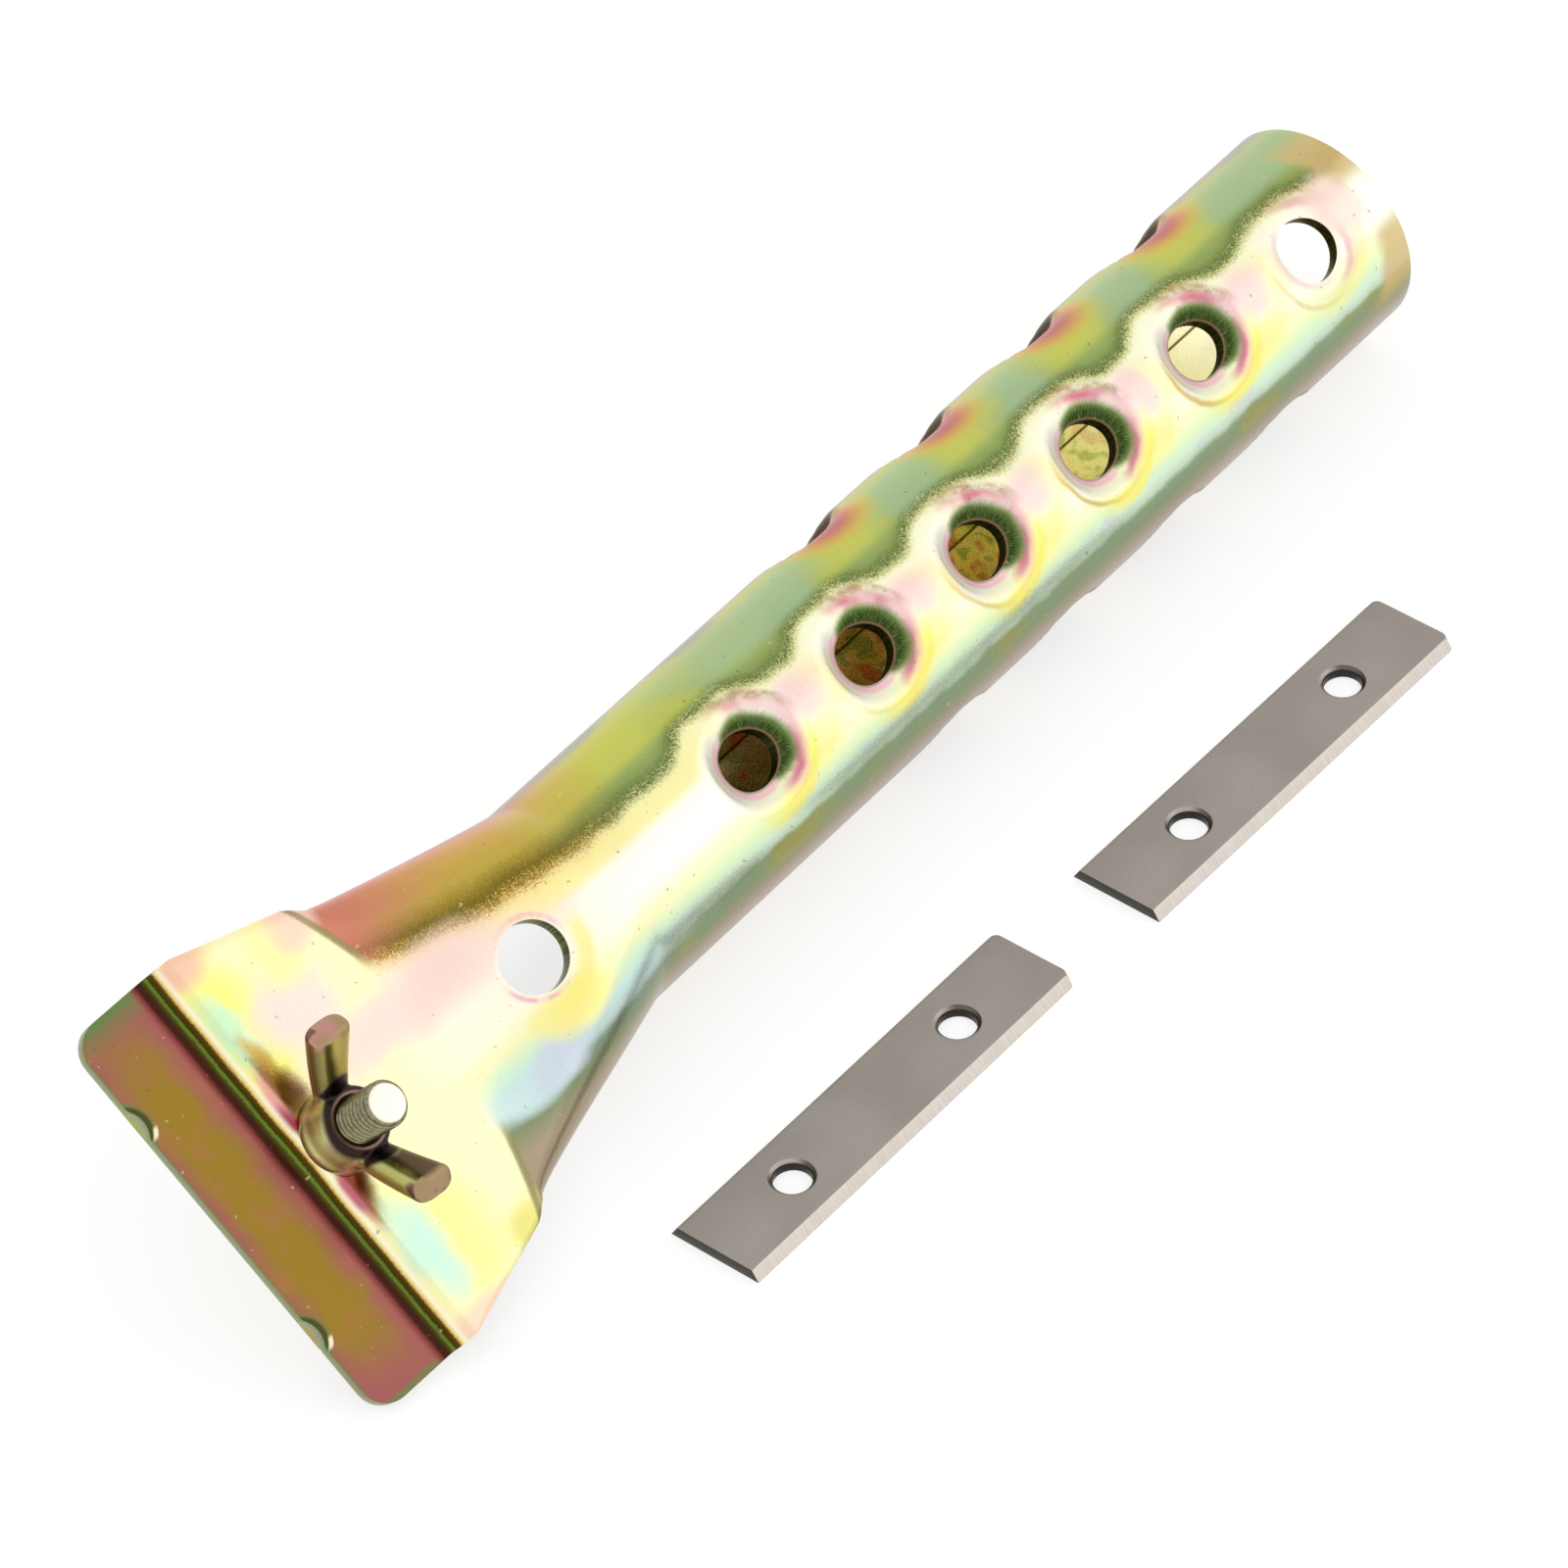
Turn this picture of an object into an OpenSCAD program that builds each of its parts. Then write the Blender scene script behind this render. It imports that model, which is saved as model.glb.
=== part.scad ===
// Paint scraper: a handle rolled and pressed from one steel sheet, with a
// wing-nut clamp in its head and two loose reversible knives beside it.
// Tool space has y = 0 at the front edge of the head, +y along the handle,
// +x to the tool's right, +z out of its face, and z = 0 on the tube's axis.
// The tool lies on its tube and on the right corner of its head, and the
// finished part stands on z = 0 with its footprint centred on the origin.

/* [Handle sheet and tube] */
// Thickness of the steel sheet that the handle is made from
sheet_t = 1.5; // [1:0.1:2]
// Outside diameter of the rolled tube
tube_d = 24.5; // [22:0.5:28]
// Length from the front edge of the head to the open end of the tube
tool_len = 181.6; // [165:0.1:220]
// Gap in the butt seam that runs along the underside of the tube
seam_gap = 0.3; // [0.2:0.1:0.8]
// Distance from the front edge to where the section is a round tube
tube_start = 54.6; // [50:0.2:60]
// Length over which the open underside narrows to the seam
slot_len = 21; // [12:1:26]

/* [Holes in the handle] */
// Diameter of the plain hanging hole near the open end
hang_hole_d = 7.6; // [5:0.1:8]
// Distance from the open end to the hanging hole
hang_hole_inset = 12.2; // [9:0.1:16]
// Spacing of the holes along the crown of the tube
hole_pitch = 18.8; // [16:0.1:20]
// Number of pressed holes along the crown behind the hanging hole
dimple_count = 5; // [3:1:5]
// Diameter of each pressed hole
dimple_hole_d = 7.2; // [4:0.1:7.6]
// Diameter of the dish that is pressed round each of those holes
dimple_dish_d = 11.4; // [9:0.1:12]
// Depth of each pressed dish
dimple_depth = 1.6; // [0.6:0.1:1.8]
// Angle from the crown round to the rows of pressed holes in the flanks
flank_angle = 98; // [90:1:110]
// Diameter of the plain hole in the neck
neck_hole_d = 7.4; // [5:0.1:8]
// Distance from the front edge to the neck hole
neck_hole_y = 41.8; // [40:0.1:45]

/* [Head] */
// Width of the head
head_w = 46.4; // [42:0.2:52]
// Corner radius of the head
head_corner_r = 3; // [1.5:0.1:4]
// Length of the front panel, measured back to the foot of the step
panel_len = 9; // [8:0.1:9.6]
// Slope of the front panel, which dips towards the front edge
panel_tilt = 8; // [0:1:10]
// Height of the front edge's upper corner above the tube's axis
front_z = 4.55; // [3.5:0.05:5]
// Rise of the step between the front panel and the flat plateau
step_rise = 2.4; // [2:0.1:3]
// Steepness of the step
step_angle = 65; // [55:1:75]
// Outside radius of the fold at the top of the step
step_top_r = 2.2; // [1.8:0.1:2.4]
// Radius of the fold at the foot of the step
step_foot_r = 0.7; // [0.5:0.1:1]
// Distance from the front edge to the shoulders' corners
shoulder_y = 25; // [23.5:0.1:26]
// Width across the shoulders' corners
shoulder_w = 39; // [37:0.2:42]
// Distance from the front edge to the start of the neck
neck_y = 26.8; // [26.5:0.1:29]
// Width at the start of the neck
neck_w = 36.2; // [33:0.2:36.6]
// Radius of the notches in the front edge
notch_r = 2.6; // [2.2:0.1:3]
// Depth of the notches in the front edge
notch_depth = 0.6; // [0.5:0.1:1.1]

/* [Clamp] */
// Distance from the front edge to the clamp bolt
bolt_y = 14.1; // [14:0.1:15]
// Outside diameter of the bolt's thread
bolt_d = 4.8; // [4:0.1:5]
// Height of the bolt's tip above the plateau
bolt_tip_h = 11.1; // [10.5:0.1:14]
// Diameter of the bolt's domed head
bolt_head_d = 11.4; // [9:0.2:12]
// Height of the bolt's domed head
bolt_head_h = 2.6; // [2:0.1:3]
// Side of the square neck under the bolt's head
bolt_neck_w = 5; // [5:0.1:5.6]
// Diameter of the bolt's hole in the head
bolt_hole_d = 5.5; // [5.4:0.1:6]
// Thickness of the clamp plate
plate_t = 1.6; // [1.2:0.1:2]
// Width of the clamp plate left beside a pin
plate_side = 0.9; // [0.6:0.1:1.5]
// Distance that the clamp plate's front edge is set back
plate_setback = 1.6; // [1.5:0.1:1.8]
// Distance from the front edge to the back of the clamp plate's heel
heel_y = 23.6; // [22.5:0.1:25]
// Width of the heel
heel_w = 18; // [14:0.5:22]
// Diameter of the pins that hold the knife
pin_d = 3.8; // [3.4:0.1:3.9]
// Height of the pins above the clamp plate
pin_h = 1.3; // [1:0.1:1.4]

/* [Wing nut] */
// Diameter of the nut's base
nut_base_d = 8.8; // [8:0.1:9.4]
// Diameter of the top of the nut's hub
nut_top_d = 6.8; // [6.2:0.1:7.6]
// Height of the nut's hub
nut_hub_h = 4.6; // [4:0.1:5.2]
// Distance between the centres of the wing ends
wing_span = 18.4; // [16:0.2:22]
// Height of the centres of the wing ends above the plateau
wing_h = 9.6; // [8.5:0.1:11]
// Width of a wing at its end
wing_end_w = 4.9; // [3.4:0.1:5.2]
// Thickness of a wing at its end
wing_end_t = 3.1; // [2.4:0.1:3.4]
// Turn of the wings away from square across the tool
wing_turn = -6; // [-40:1:40]

/* [Knives] */
// Length of a knife
blade_len = 50; // [50:1:60]
// Width of a knife across its cutting edges
blade_w = 11; // [10:0.1:12]
// Thickness of a knife
blade_t = 1.3; // [1.2:0.1:1.5]
// Width of the bevel along each cutting edge
bevel_w = 0.8; // [0.6:0.1:1.2]
// Spacing of the two holes in a knife, of the pins and of the notches
blade_hole_pitch = 26; // [24:0.5:27]
// Diameter of the holes in a knife
blade_hole_d = 4; // [3.6:0.1:4.2]
// Diameter of the countersink round each hole
blade_sink_d = 4.8; // [4.4:0.1:5]
// Distance from the tube's axis to the front knife
blade_a_x = 33.7; // [32:0.1:40]
// Distance from the head's front edge back to the middle of the front knife
blade_a_y = 59.9; // [56:0.1:64]
// Turn of the front knife away from the tube's direction
blade_a_turn = 0.9; // [0:0.1:3]
// Distance from the tube's axis to the rear knife
blade_b_x = 36.3; // [34:0.1:42]
// Distance from the head's front edge back to the middle of the rear knife
blade_b_y = 121.8; // [118:0.1:128]
// Turn of the rear knife away from the tube's direction
blade_b_turn = 1.3; // [0:0.1:3]

/* [Hidden] */
$fn = 48;

// Overrun of every cut past the surface that it leaves
over = 1;
// Gap under the wing nut's base and over the bolt's head
seat_gap = 0.1;
// Gap between parts of the clamp that close on the head
jaw_gap = 0.3;
// Gap round the bolt in the nut and round its neck in the clamp plate
run_gap = 0.05;
// Depth that the rolled neck is lapped into the tube's wall, and its length
lap_in = 0.1;
lap_len = 0.6;
// Distance that the slot's edges stand in from the rolled neck's edges
slot_inset = 0.3;
// Edge chamfer of the bolt's tip
tip_chamfer = 0.5;
// Inside radius of the bend at the clamp plate's heel
heel_bend_r = 1;
// Corner chamfer of the clamp plate
plate_chamfer = 1.5;
// Width of the plate left in front of a pin
pin_wall = 0.6;

tube_r = tube_d / 2;
plate_w = blade_hole_pitch + pin_d + 2 * plate_side;
bore_r = tube_r - sheet_t;
lap_r = tube_r - lap_in;
lap_t = sheet_t - 2 * lap_in;
half_head = head_w / 2;

// Centre line of the head's upper surface, as [y, z, slope] stations
panel_end_z = front_z + panel_len * tan(panel_tilt);
foot_dy = step_foot_r * (sin(step_angle) - sin(panel_tilt));
foot_dz = step_foot_r * (cos(panel_tilt) - cos(step_angle));
top_dy = step_top_r * sin(step_angle);
top_dz = step_top_r * (1 - cos(step_angle));
riser_dz = step_rise - foot_dz - top_dz;
riser_dy = riser_dz / tan(step_angle);
plateau_y = panel_len + foot_dy + riser_dy + top_dy;
plateau_z = panel_end_z + step_rise;

// Shares of a fold or a length at which the head has a station
foot_shares = [0, 0.34, 0.67, 1];
top_shares = [0, 0.25, 0.5, 0.75, 1];
corner_shares = [0, 0.06, 0.2, 0.42, 0.7, 1];
panel_shares = [0.6, 0.85];
plateau_shares = [0.35, 0.7, 1];
neck_shares = [0, 0.03, 0.07, 0.12, 0.18, 0.26, 0.35, 0.45, 0.55, 0.65, 0.75, 0.84, 0.92, 0.97, 1];
// Points across half of the sheet
half_points = 15;
across = [for (k = [-half_points:half_points]) k / half_points];

// Half width of the head at a distance from the front edge
function corner_half(y) = half_head - head_corner_r + sqrt(pow(head_corner_r, 2) - pow(head_corner_r - y, 2));
function taper_half(y) = half_head - (half_head - shoulder_w / 2) * (y - plateau_y) / (shoulder_y - plateau_y);
function head_half(y) = y < head_corner_r ? corner_half(y) : y < plateau_y ? half_head : taper_half(y);

// Each station is [y, z, half width, edge radius, turn of the edge, wall]
function head_station(y, z) = [y, z, head_half(y), sheet_t, 0, sheet_t];
function panel_station(y) = head_station(y, front_z + y * tan(panel_tilt));
function foot_station(share) =
    let (a = panel_tilt + (step_angle - panel_tilt) * share)
    head_station(panel_len + step_foot_r * (sin(a) - sin(panel_tilt)),
                 panel_end_z + step_foot_r * (cos(panel_tilt) - cos(a)));
function top_station(share) =
    let (a = step_angle * (1 - share))
    head_station(plateau_y - step_top_r * sin(a), plateau_z - step_top_r * (1 - cos(a)));

// Along the neck the flat sheet rolls down into the tube
neck_edge_r = 1.9;
neck_turn_end = 150;
neck_turn_power = 0.35;
neck_taper_power = 1.1;
function ease(u) = u * u * (3 - 2 * u);
function neck_station(u) = [
    neck_y + (tube_start - neck_y) * u,
    plateau_z + (lap_r - plateau_z) * ease(u),
    lap_r + (neck_w / 2 - lap_r) * pow(1 - u, neck_taper_power),
    neck_edge_r + (lap_r - neck_edge_r) * u,
    neck_turn_end * pow(u, neck_turn_power),
    u < 1 ? sheet_t : lap_t
];
lap_station = [tube_start + lap_len, lap_r, lap_r, lap_r, neck_turn_end, lap_t];

stations = concat(
    [for (s = corner_shares) panel_station(head_corner_r * s)],
    [for (s = panel_shares) panel_station(panel_len * s)],
    [for (s = foot_shares) foot_station(s)],
    [for (s = top_shares) top_station(s)],
    [for (s = plateau_shares) head_station(plateau_y + (shoulder_y - plateau_y) * s, plateau_z)],
    [for (s = neck_shares) neck_station(s)],
    [lap_station]
);

// A point of the sheet's outer face: flat in the middle, then round the edge
function edge_reach(st) = st[3] * sin(min(st[4], 90));
function flat_half(st) = st[2] - edge_reach(st);
function arc_len(st) = st[3] * st[4] * PI / 180;
function sheet_point(st, share) =
    let (pos = abs(share) * (flat_half(st) + arc_len(st)),
         past = max(0, pos - flat_half(st)),
         a = past / st[3] * 180 / PI,
         x = min(pos, flat_half(st)) + st[3] * sin(a))
    [sign(share) * x, st[0], st[1] - st[3] * (1 - cos(a))];

rows = len(stations);
cols = len(across);
outer = [for (st = stations) [for (s = across) sheet_point(st, s)]];
function step_back(i) = max(0, i - 1);
function step_on(i, count) = min(count - 1, i + 1);
function unit(v) = v / norm(v);
function normal_at(i, j) =
    unit(cross(outer[i][step_on(j, cols)] - outer[i][step_back(j)],
               outer[step_on(i, rows)][j] - outer[step_back(i)][j]));
inner = [for (i = [0:rows - 1]) [for (j = [0:cols - 1]) outer[i][j] - stations[i][5] * normal_at(i, j)]];

// Where the tool touches the table: the bore's side of the head's right corner
contact_z = front_z + head_corner_r * tan(panel_tilt) - sheet_t * cos(panel_tilt);
roll = asin(tube_r / norm([half_head, contact_z])) + atan(contact_z / half_head);

// Footprint of the whole part, which the origin is centred under
foot_x_min = -half_head * cos(roll) + contact_z * sin(roll);
foot_x_max = blade_b_x + blade_w / 2 * cos(blade_b_turn) + blade_len / 2 * sin(blade_b_turn);
origin_x = (foot_x_min + foot_x_max) / 2;
origin_y = tool_len / 2;

// Places of the holes along the handle
hang_hole_y = tool_len - hang_hole_inset;
crown_ys = [for (k = [1:dimple_count]) hang_hole_y - k * hole_pitch];
flank_ys = [for (k = [1:dimple_count - 1]) hang_hole_y - (k - 0.5) * hole_pitch];

// Clamp plate heights in tool space, with the jaws closed
pin_y = plate_setback + pin_wall + pin_d / 2;
pin_top = front_z + pin_y * tan(panel_tilt) - sheet_t / cos(panel_tilt) - jaw_gap;
plate_top = pin_top - pin_h;
plate_bottom = plate_top - plate_t;
heel_top = plateau_z - sheet_t - jaw_gap;
plate_taper_y = bolt_y - bolt_neck_w / 2;
nut_z = plateau_z + seat_gap;

module lay() {
    translate([-origin_x, -origin_y, tube_r]) rotate([0, roll, 0]) children();
}

// A closed skin from two grids of points, outer face first
module sheet_solid() {
    points = concat([for (r = outer) each r], [for (r = inner) each r]);
    under = rows * cols;
    top = [for (i = [0:rows - 2]) for (j = [0:cols - 2])
        let (a = i * cols + j) each [[a, a + 1, a + cols + 1], [a, a + cols + 1, a + cols]]];
    base = [for (f = top) [f[2] + under, f[1] + under, f[0] + under]];
    front = [for (j = [0:cols - 2]) each [[j, j + under, j + 1 + under], [j, j + 1 + under, j + 1]]];
    last = (rows - 1) * cols;
    back = [for (j = [0:cols - 2]) let (a = last + j)
        each [[a, a + 1 + under, a + under], [a, a + 1, a + 1 + under]]];
    left = [for (i = [0:rows - 2]) let (a = i * cols)
        each [[a, a + cols + under, a + under], [a, a + cols, a + cols + under]]];
    right = [for (i = [0:rows - 2]) let (a = i * cols + cols - 1)
        each [[a, a + under, a + cols + under], [a, a + cols + under, a + cols]]];
    skin = [for (f = concat(top, base, front, back, left, right)) [f[2], f[1], f[0]]];
    polyhedron(points = points, faces = skin, convexity = 10);
}

module along_y(from, to, r) {
    translate([0, from, 0]) rotate([-90, 0, 0]) cylinder(h = to - from, r = r);
}

module tube() {
    difference() {
        along_y(tube_start, tool_len, tube_r);
        along_y(tube_start - over, tool_len + over, bore_r);
    }
}

// Open underside behind the neck, which narrows to the seam
slot_half = lap_r * sin(180 - neck_turn_end) - slot_inset;
slot_shares = [[0, 1], [0.3, 0.8], [0.6, 0.45], [0.85, 0.16], [1, 0]];
module underside_slot() {
    half_gap = seam_gap / 2;
    side = [for (s = slot_shares) [half_gap + (slot_half - half_gap) * s[1], tube_start + slot_len * s[0]]];
    mouth = [[side[0][0], tube_start - over]];
    right = concat(mouth, side, [[half_gap, tool_len + over]]);
    left = [for (k = [len(right) - 1:-1:0]) [-right[k][0], right[k][1]]];
    translate([0, 0, -tube_r - over]) linear_extrude(height = tube_r) polygon(concat(right, left));
}

// Frames for a hole: its axis is +z at the tube's surface
module at_round(y, angle) {
    translate([0, y, 0]) rotate([0, angle, 0]) translate([0, 0, tube_r]) children();
}

module dimple_wall() {
    wall_r = dimple_hole_d / 2 + sheet_t;
    top_share = 0.15;
    translate([0, 0, -dimple_depth - sheet_t]) cylinder(h = dimple_depth + sheet_t * top_share, r = wall_r);
}

module dimple_cut() {
    rise = dimple_depth + over;
    hole_r = dimple_hole_d / 2;
    dish_r = dimple_dish_d / 2;
    slope = (dish_r - hole_r) / dimple_depth;
    translate([0, 0, -dimple_depth]) cylinder(h = rise, r1 = hole_r, r2 = hole_r + slope * rise);
    translate([0, 0, -dimple_depth - sheet_t - over]) cylinder(h = dimple_depth + sheet_t + 2 * over, r = hole_r);
}

module at_dimples() {
    for (y = crown_ys) at_round(y, 0) children();
    for (y = flank_ys, side = [-1, 1]) at_round(y, side * flank_angle) children();
}

module notches() {
    for (side = [-1, 1])
        translate([side * blade_hole_pitch / 2, notch_depth - notch_r, 0])
            cylinder(h = tube_r, r = notch_r);
}

module handle() {
    color("yellowgreen") lay() difference() {
        union() {
            sheet_solid();
            tube();
            at_dimples() dimple_wall();
        }
        at_dimples() dimple_cut();
        at_round(hang_hole_y, 0) translate([0, 0, -tube_r / 2]) cylinder(h = tube_r, d = hang_hole_d);
        translate([0, neck_hole_y, 0]) cylinder(h = tube_d, d = neck_hole_d);
        translate([0, bolt_y, 0]) cylinder(h = tube_d, d = bolt_hole_d);
        notches();
        underside_slot();
    }
}

// Side view of the clamp plate: flat in front, with a heel bent up behind
module plate_profile() {
    bend = heel_bend_r + plate_t;
    bend_y = heel_y - bend;
    bend_z = plate_bottom + bend;
    union() {
        translate([plate_setback, plate_bottom]) square([bend_y - plate_setback, plate_t]);
        translate([heel_y - plate_t, bend_z]) square([plate_t, heel_top - bend_z]);
        translate([bend_y, bend_z]) intersection() {
            difference() {
                circle(r = bend);
                circle(r = heel_bend_r);
            }
            translate([0, -bend]) square([bend, bend]);
        }
    }
}

module plate_outline() {
    half = plate_w / 2;
    half_heel = heel_w / 2;
    right = [[half - plate_chamfer, plate_setback - over], [half, plate_setback + plate_chamfer],
             [half, plate_taper_y], [half_heel, heel_y - plate_t], [half_heel, heel_y + over]];
    left = [for (k = [len(right) - 1:-1:0]) [-right[k][0], right[k][1]]];
    polygon(concat(right, left));
}

module clamp_plate() {
    neck = bolt_neck_w + 2 * run_gap;
    color("darkkhaki") lay() difference() {
        intersection() {
            translate([-plate_w / 2, 0, 0]) rotate([90, 0, 90]) linear_extrude(height = plate_w) plate_profile();
            translate([0, 0, plate_bottom - over]) linear_extrude(height = tube_d) plate_outline();
        }
        translate([-neck / 2, bolt_y - neck / 2, plate_bottom - over]) cube([neck, neck, plate_t + 2 * over]);
        for (side = [-1, 1]) at_pin(side) translate([0, 0, -over]) cylinder(h = plate_t + 2 * over, d = pin_d);
    }
}

module at_pin(side) {
    translate([side * blade_hole_pitch / 2, pin_y, plate_bottom]) children();
}

// A pin pressed into the clamp plate, with a rounded top edge
module pin(side) {
    round_share = 0.3;
    round_r = pin_h * round_share;
    height = plate_t + pin_h;
    color("gainsboro") lay() at_pin(side) rotate_extrude() union() {
        square([pin_d / 2, height - round_r]);
        square([pin_d / 2 - round_r, height]);
        translate([pin_d / 2 - round_r, height - round_r]) circle(r = round_r);
    }
}

module pin_left() {
    pin(-1);
}

module pin_right() {
    pin(1);
}

// Bolt with a domed head below, a square neck in the plate and a plain core
module clamp_bolt() {
    dome_r = (pow(bolt_head_d / 2, 2) + pow(bolt_head_h, 2)) / (2 * bolt_head_h);
    head_z = plate_bottom - seat_gap - bolt_head_h;
    core_z = head_z + bolt_head_h / 2;
    shank_r = bolt_d / 2;
    tip_z = plateau_z + bolt_tip_h;
    color("tan") lay() translate([0, bolt_y, 0]) union() {
        intersection() {
            translate([0, 0, head_z + dome_r]) sphere(r = dome_r);
            translate([0, 0, head_z - over]) cylinder(h = bolt_head_h + over, d = bolt_head_d);
        }
        translate([-bolt_neck_w / 2, -bolt_neck_w / 2, core_z])
            cube([bolt_neck_w, bolt_neck_w, plate_top - core_z]);
        rotate_extrude() polygon([[0, core_z], [shank_r, core_z], [shank_r, tip_z - tip_chamfer],
                                  [shank_r - tip_chamfer, tip_z], [0, tip_z]]);
    }
}

// One wing: a tongue that widens from the hub to its rounded end
module wing(side) {
    root_share = 0.72;
    root_x = nut_top_d / 2 - wing_end_t * (1 - root_share);
    root_z = nut_hub_h / 2;
    end_x = wing_span / 2;
    lean = atan((end_x - root_x) / (wing_h - root_z));
    disc_share = 0.25;
    disc_t = wing_end_t * disc_share;
    hull() {
        translate([side * root_x, 0, root_z]) rotate([0, side * lean, 0])
            scale([wing_end_t, wing_end_w, 1]) cylinder(h = disc_t, d = root_share);
        translate([side * end_x, 0, wing_h]) rotate([0, side * lean, 0]) translate([0, 0, -disc_t / 2])
            scale([wing_end_t, wing_end_w, 1]) cylinder(h = disc_t, d = 1);
    }
}

module wing_nut() {
    base_share = 0.25;
    base_h = nut_hub_h * base_share;
    color("olive") lay() translate([0, bolt_y, nut_z]) rotate([0, 0, wing_turn]) difference() {
        union() {
            cylinder(h = base_h, d = nut_base_d);
            translate([0, 0, base_h]) cylinder(h = nut_hub_h - base_h, d1 = nut_base_d, d2 = nut_top_d);
            for (side = [-1, 1]) wing(side);
        }
        translate([0, 0, -over]) cylinder(h = nut_hub_h + 2 * over, r = bolt_d / 2 + run_gap);
    }
}

module blade(x, y, turn) {
    half = blade_w / 2;
    sink = (blade_sink_d - blade_hole_d) / 2;
    color("rosybrown") translate([x - origin_x, y - origin_y, 0]) rotate([0, 0, -turn]) difference() {
        translate([0, blade_len / 2, 0]) rotate([90, 0, 0]) linear_extrude(height = blade_len)
            polygon([[-half, 0], [half, 0], [half - bevel_w, blade_t], [bevel_w - half, blade_t]]);
        for (side = [-1, 1]) translate([0, side * blade_hole_pitch / 2, 0]) {
            translate([0, 0, -over]) cylinder(h = blade_t + 2 * over, d = blade_hole_d);
            translate([0, 0, blade_t - sink])
                cylinder(h = sink + over, d1 = blade_hole_d, d2 = blade_sink_d + 2 * over);
        }
    }
}

module blade_front() {
    blade(blade_a_x, blade_a_y, blade_a_turn);
}

module blade_rear() {
    blade(blade_b_x, blade_b_y, blade_b_turn);
}

handle();
clamp_plate();
pin_left();
pin_right();
clamp_bolt();
wing_nut();
blade_front();
blade_rear();
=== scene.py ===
"""Paint scraper with two loose knives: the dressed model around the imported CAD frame."""

from collections import Counter
from math import asin, atan, atan2, ceil, copysign, cos, hypot, pi, radians, sin, sqrt, tan

import bmesh
import bpy
import numpy as np
from mathutils import Matrix, Vector


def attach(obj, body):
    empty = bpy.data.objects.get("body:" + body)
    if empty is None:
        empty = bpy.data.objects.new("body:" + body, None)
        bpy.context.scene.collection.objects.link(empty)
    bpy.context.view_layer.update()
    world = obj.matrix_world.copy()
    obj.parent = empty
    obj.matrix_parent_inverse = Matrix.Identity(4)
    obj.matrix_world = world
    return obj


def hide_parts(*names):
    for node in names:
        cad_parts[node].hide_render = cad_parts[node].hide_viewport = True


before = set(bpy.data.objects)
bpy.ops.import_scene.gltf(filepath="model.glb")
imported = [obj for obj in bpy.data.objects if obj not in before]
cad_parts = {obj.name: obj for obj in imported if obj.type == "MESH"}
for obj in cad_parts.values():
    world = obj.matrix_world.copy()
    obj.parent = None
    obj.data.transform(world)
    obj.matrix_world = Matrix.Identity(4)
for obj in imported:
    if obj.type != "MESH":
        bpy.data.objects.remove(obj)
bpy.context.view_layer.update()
MM = 0.001

# Sizes, in mm, and angles
# Tool space: y = 0 at the head's front edge, +y along the handle, z = 0 on the
# tube's axis and +z out of the tool's face
SHEET_T = 1.5
TUBE_R = 12.25
TOOL_LEN = 181.6
SEAM_GAP = 0.06

# The neck ends and the tube starts at TUBE_Y. Its seam closes over SLOT_LEN, as
# SLOT_SIDE says: (share of that length, share that is still open)
TUBE_Y = 54.6
SLOT_LEN = 21.0
SLOT_SIDE = ((0.0, 1.0), (0.3, 0.8), (0.6, 0.45), (0.85, 0.16), (1.0, 0.0))

# Holes: the hanging hole, the dished ones round the tube, and the neck's
HOLE_PITCH = 18.8
HANG_Y = TOOL_LEN - 12.2
HANG_R = 3.8
HANG_DISH_R = 5.5
HANG_DISH_DEPTH = 0.4
DISH_R = 6.3
DISH_HOLE_R = 3.6
DISH_DEPTH = 1.6
DISH_LIP_SHARE = 0.3
FLANK = radians(98)
NECK_HOLE_Y = 41.8
NECK_HOLE_R = 3.7

# The head: a tilted front panel, a step up, a plateau and the neck's shoulders
HALF_HEAD = 23.2
CORNER_R = 3.0
PANEL_LEN = 9.0
TILT = radians(8)
FRONT_Z = 4.55
STEP_RISE = 2.4
STEP_ANGLE = radians(65)
FOOT_R = 0.7
TOP_R = 2.2
SHOULDER_Y = 25.0
SHOULDER_HALF = 19.5
NECK_Y = 26.8
NECK_HALF = 18.1
NECK_POWER = 1.1
NOTCH_R = 2.6
NOTCH_DEPTH = 0.6

# The sheet's edge is rolled down at radius EDGE_R, by so many degrees: on the
# front panel, on the head from TURN_LEN behind it, and where the neck ends
EDGE_R = 1.9
FRONT_TURN = 8
HEAD_TURN = 28
NECK_TURN = 150
TURN_LEN = 6
TURN_POWER = 0.35

# The grid of the handle's mesh: its front rows, its columns, and the rings and
# the reach of the patch round each hole
FRONT_DEPTH = 3.6
SHEET_CELLS = 96
SHEET_RINGS = (0.8, 0.62, 0.45, 0.31, 0.2, 0.1, 0.0)
DISH_REACH = 7.0
PUNCH_MARGIN = 1.0

# The clamp: pins, bolt and wing nut. The thread's ends and the nut's base are
# heights above the plateau, and the nut's own heights are above its base
PIN_X = 13.0
BOLT_Y = 14.1
BOLT_R = 2.4
BOLT_HOLE_R = 2.75
BOLT_DIP = 0.35
BOLT_DIP_R = 7.5
PITCH = 0.8
THREAD_DEPTH = 0.44
GROOVE_HALF = 0.4
THREAD_TOP = 11.1
THREAD_BASE = -2.6
TIP_CHAMFER = 0.6
BOLT_HEAD_R = 5.7
BOLT_HEAD_H = 2.6
BOLT_NECK = 5.0
AXIS_R = 0.02
NUT_BASE = 0.1
NUT_TURN = radians(-6)
NUT_BORE_R = 2.47
NUT_PROFILE = (
    (4.3, 0), (4.42, 0.25), (4.4, 0.9), (4.15, 1.6),
    (3.95, 2.6), (3.7, 3.6), (3.45, 4.25), (3.15, 4.6),
)
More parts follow.
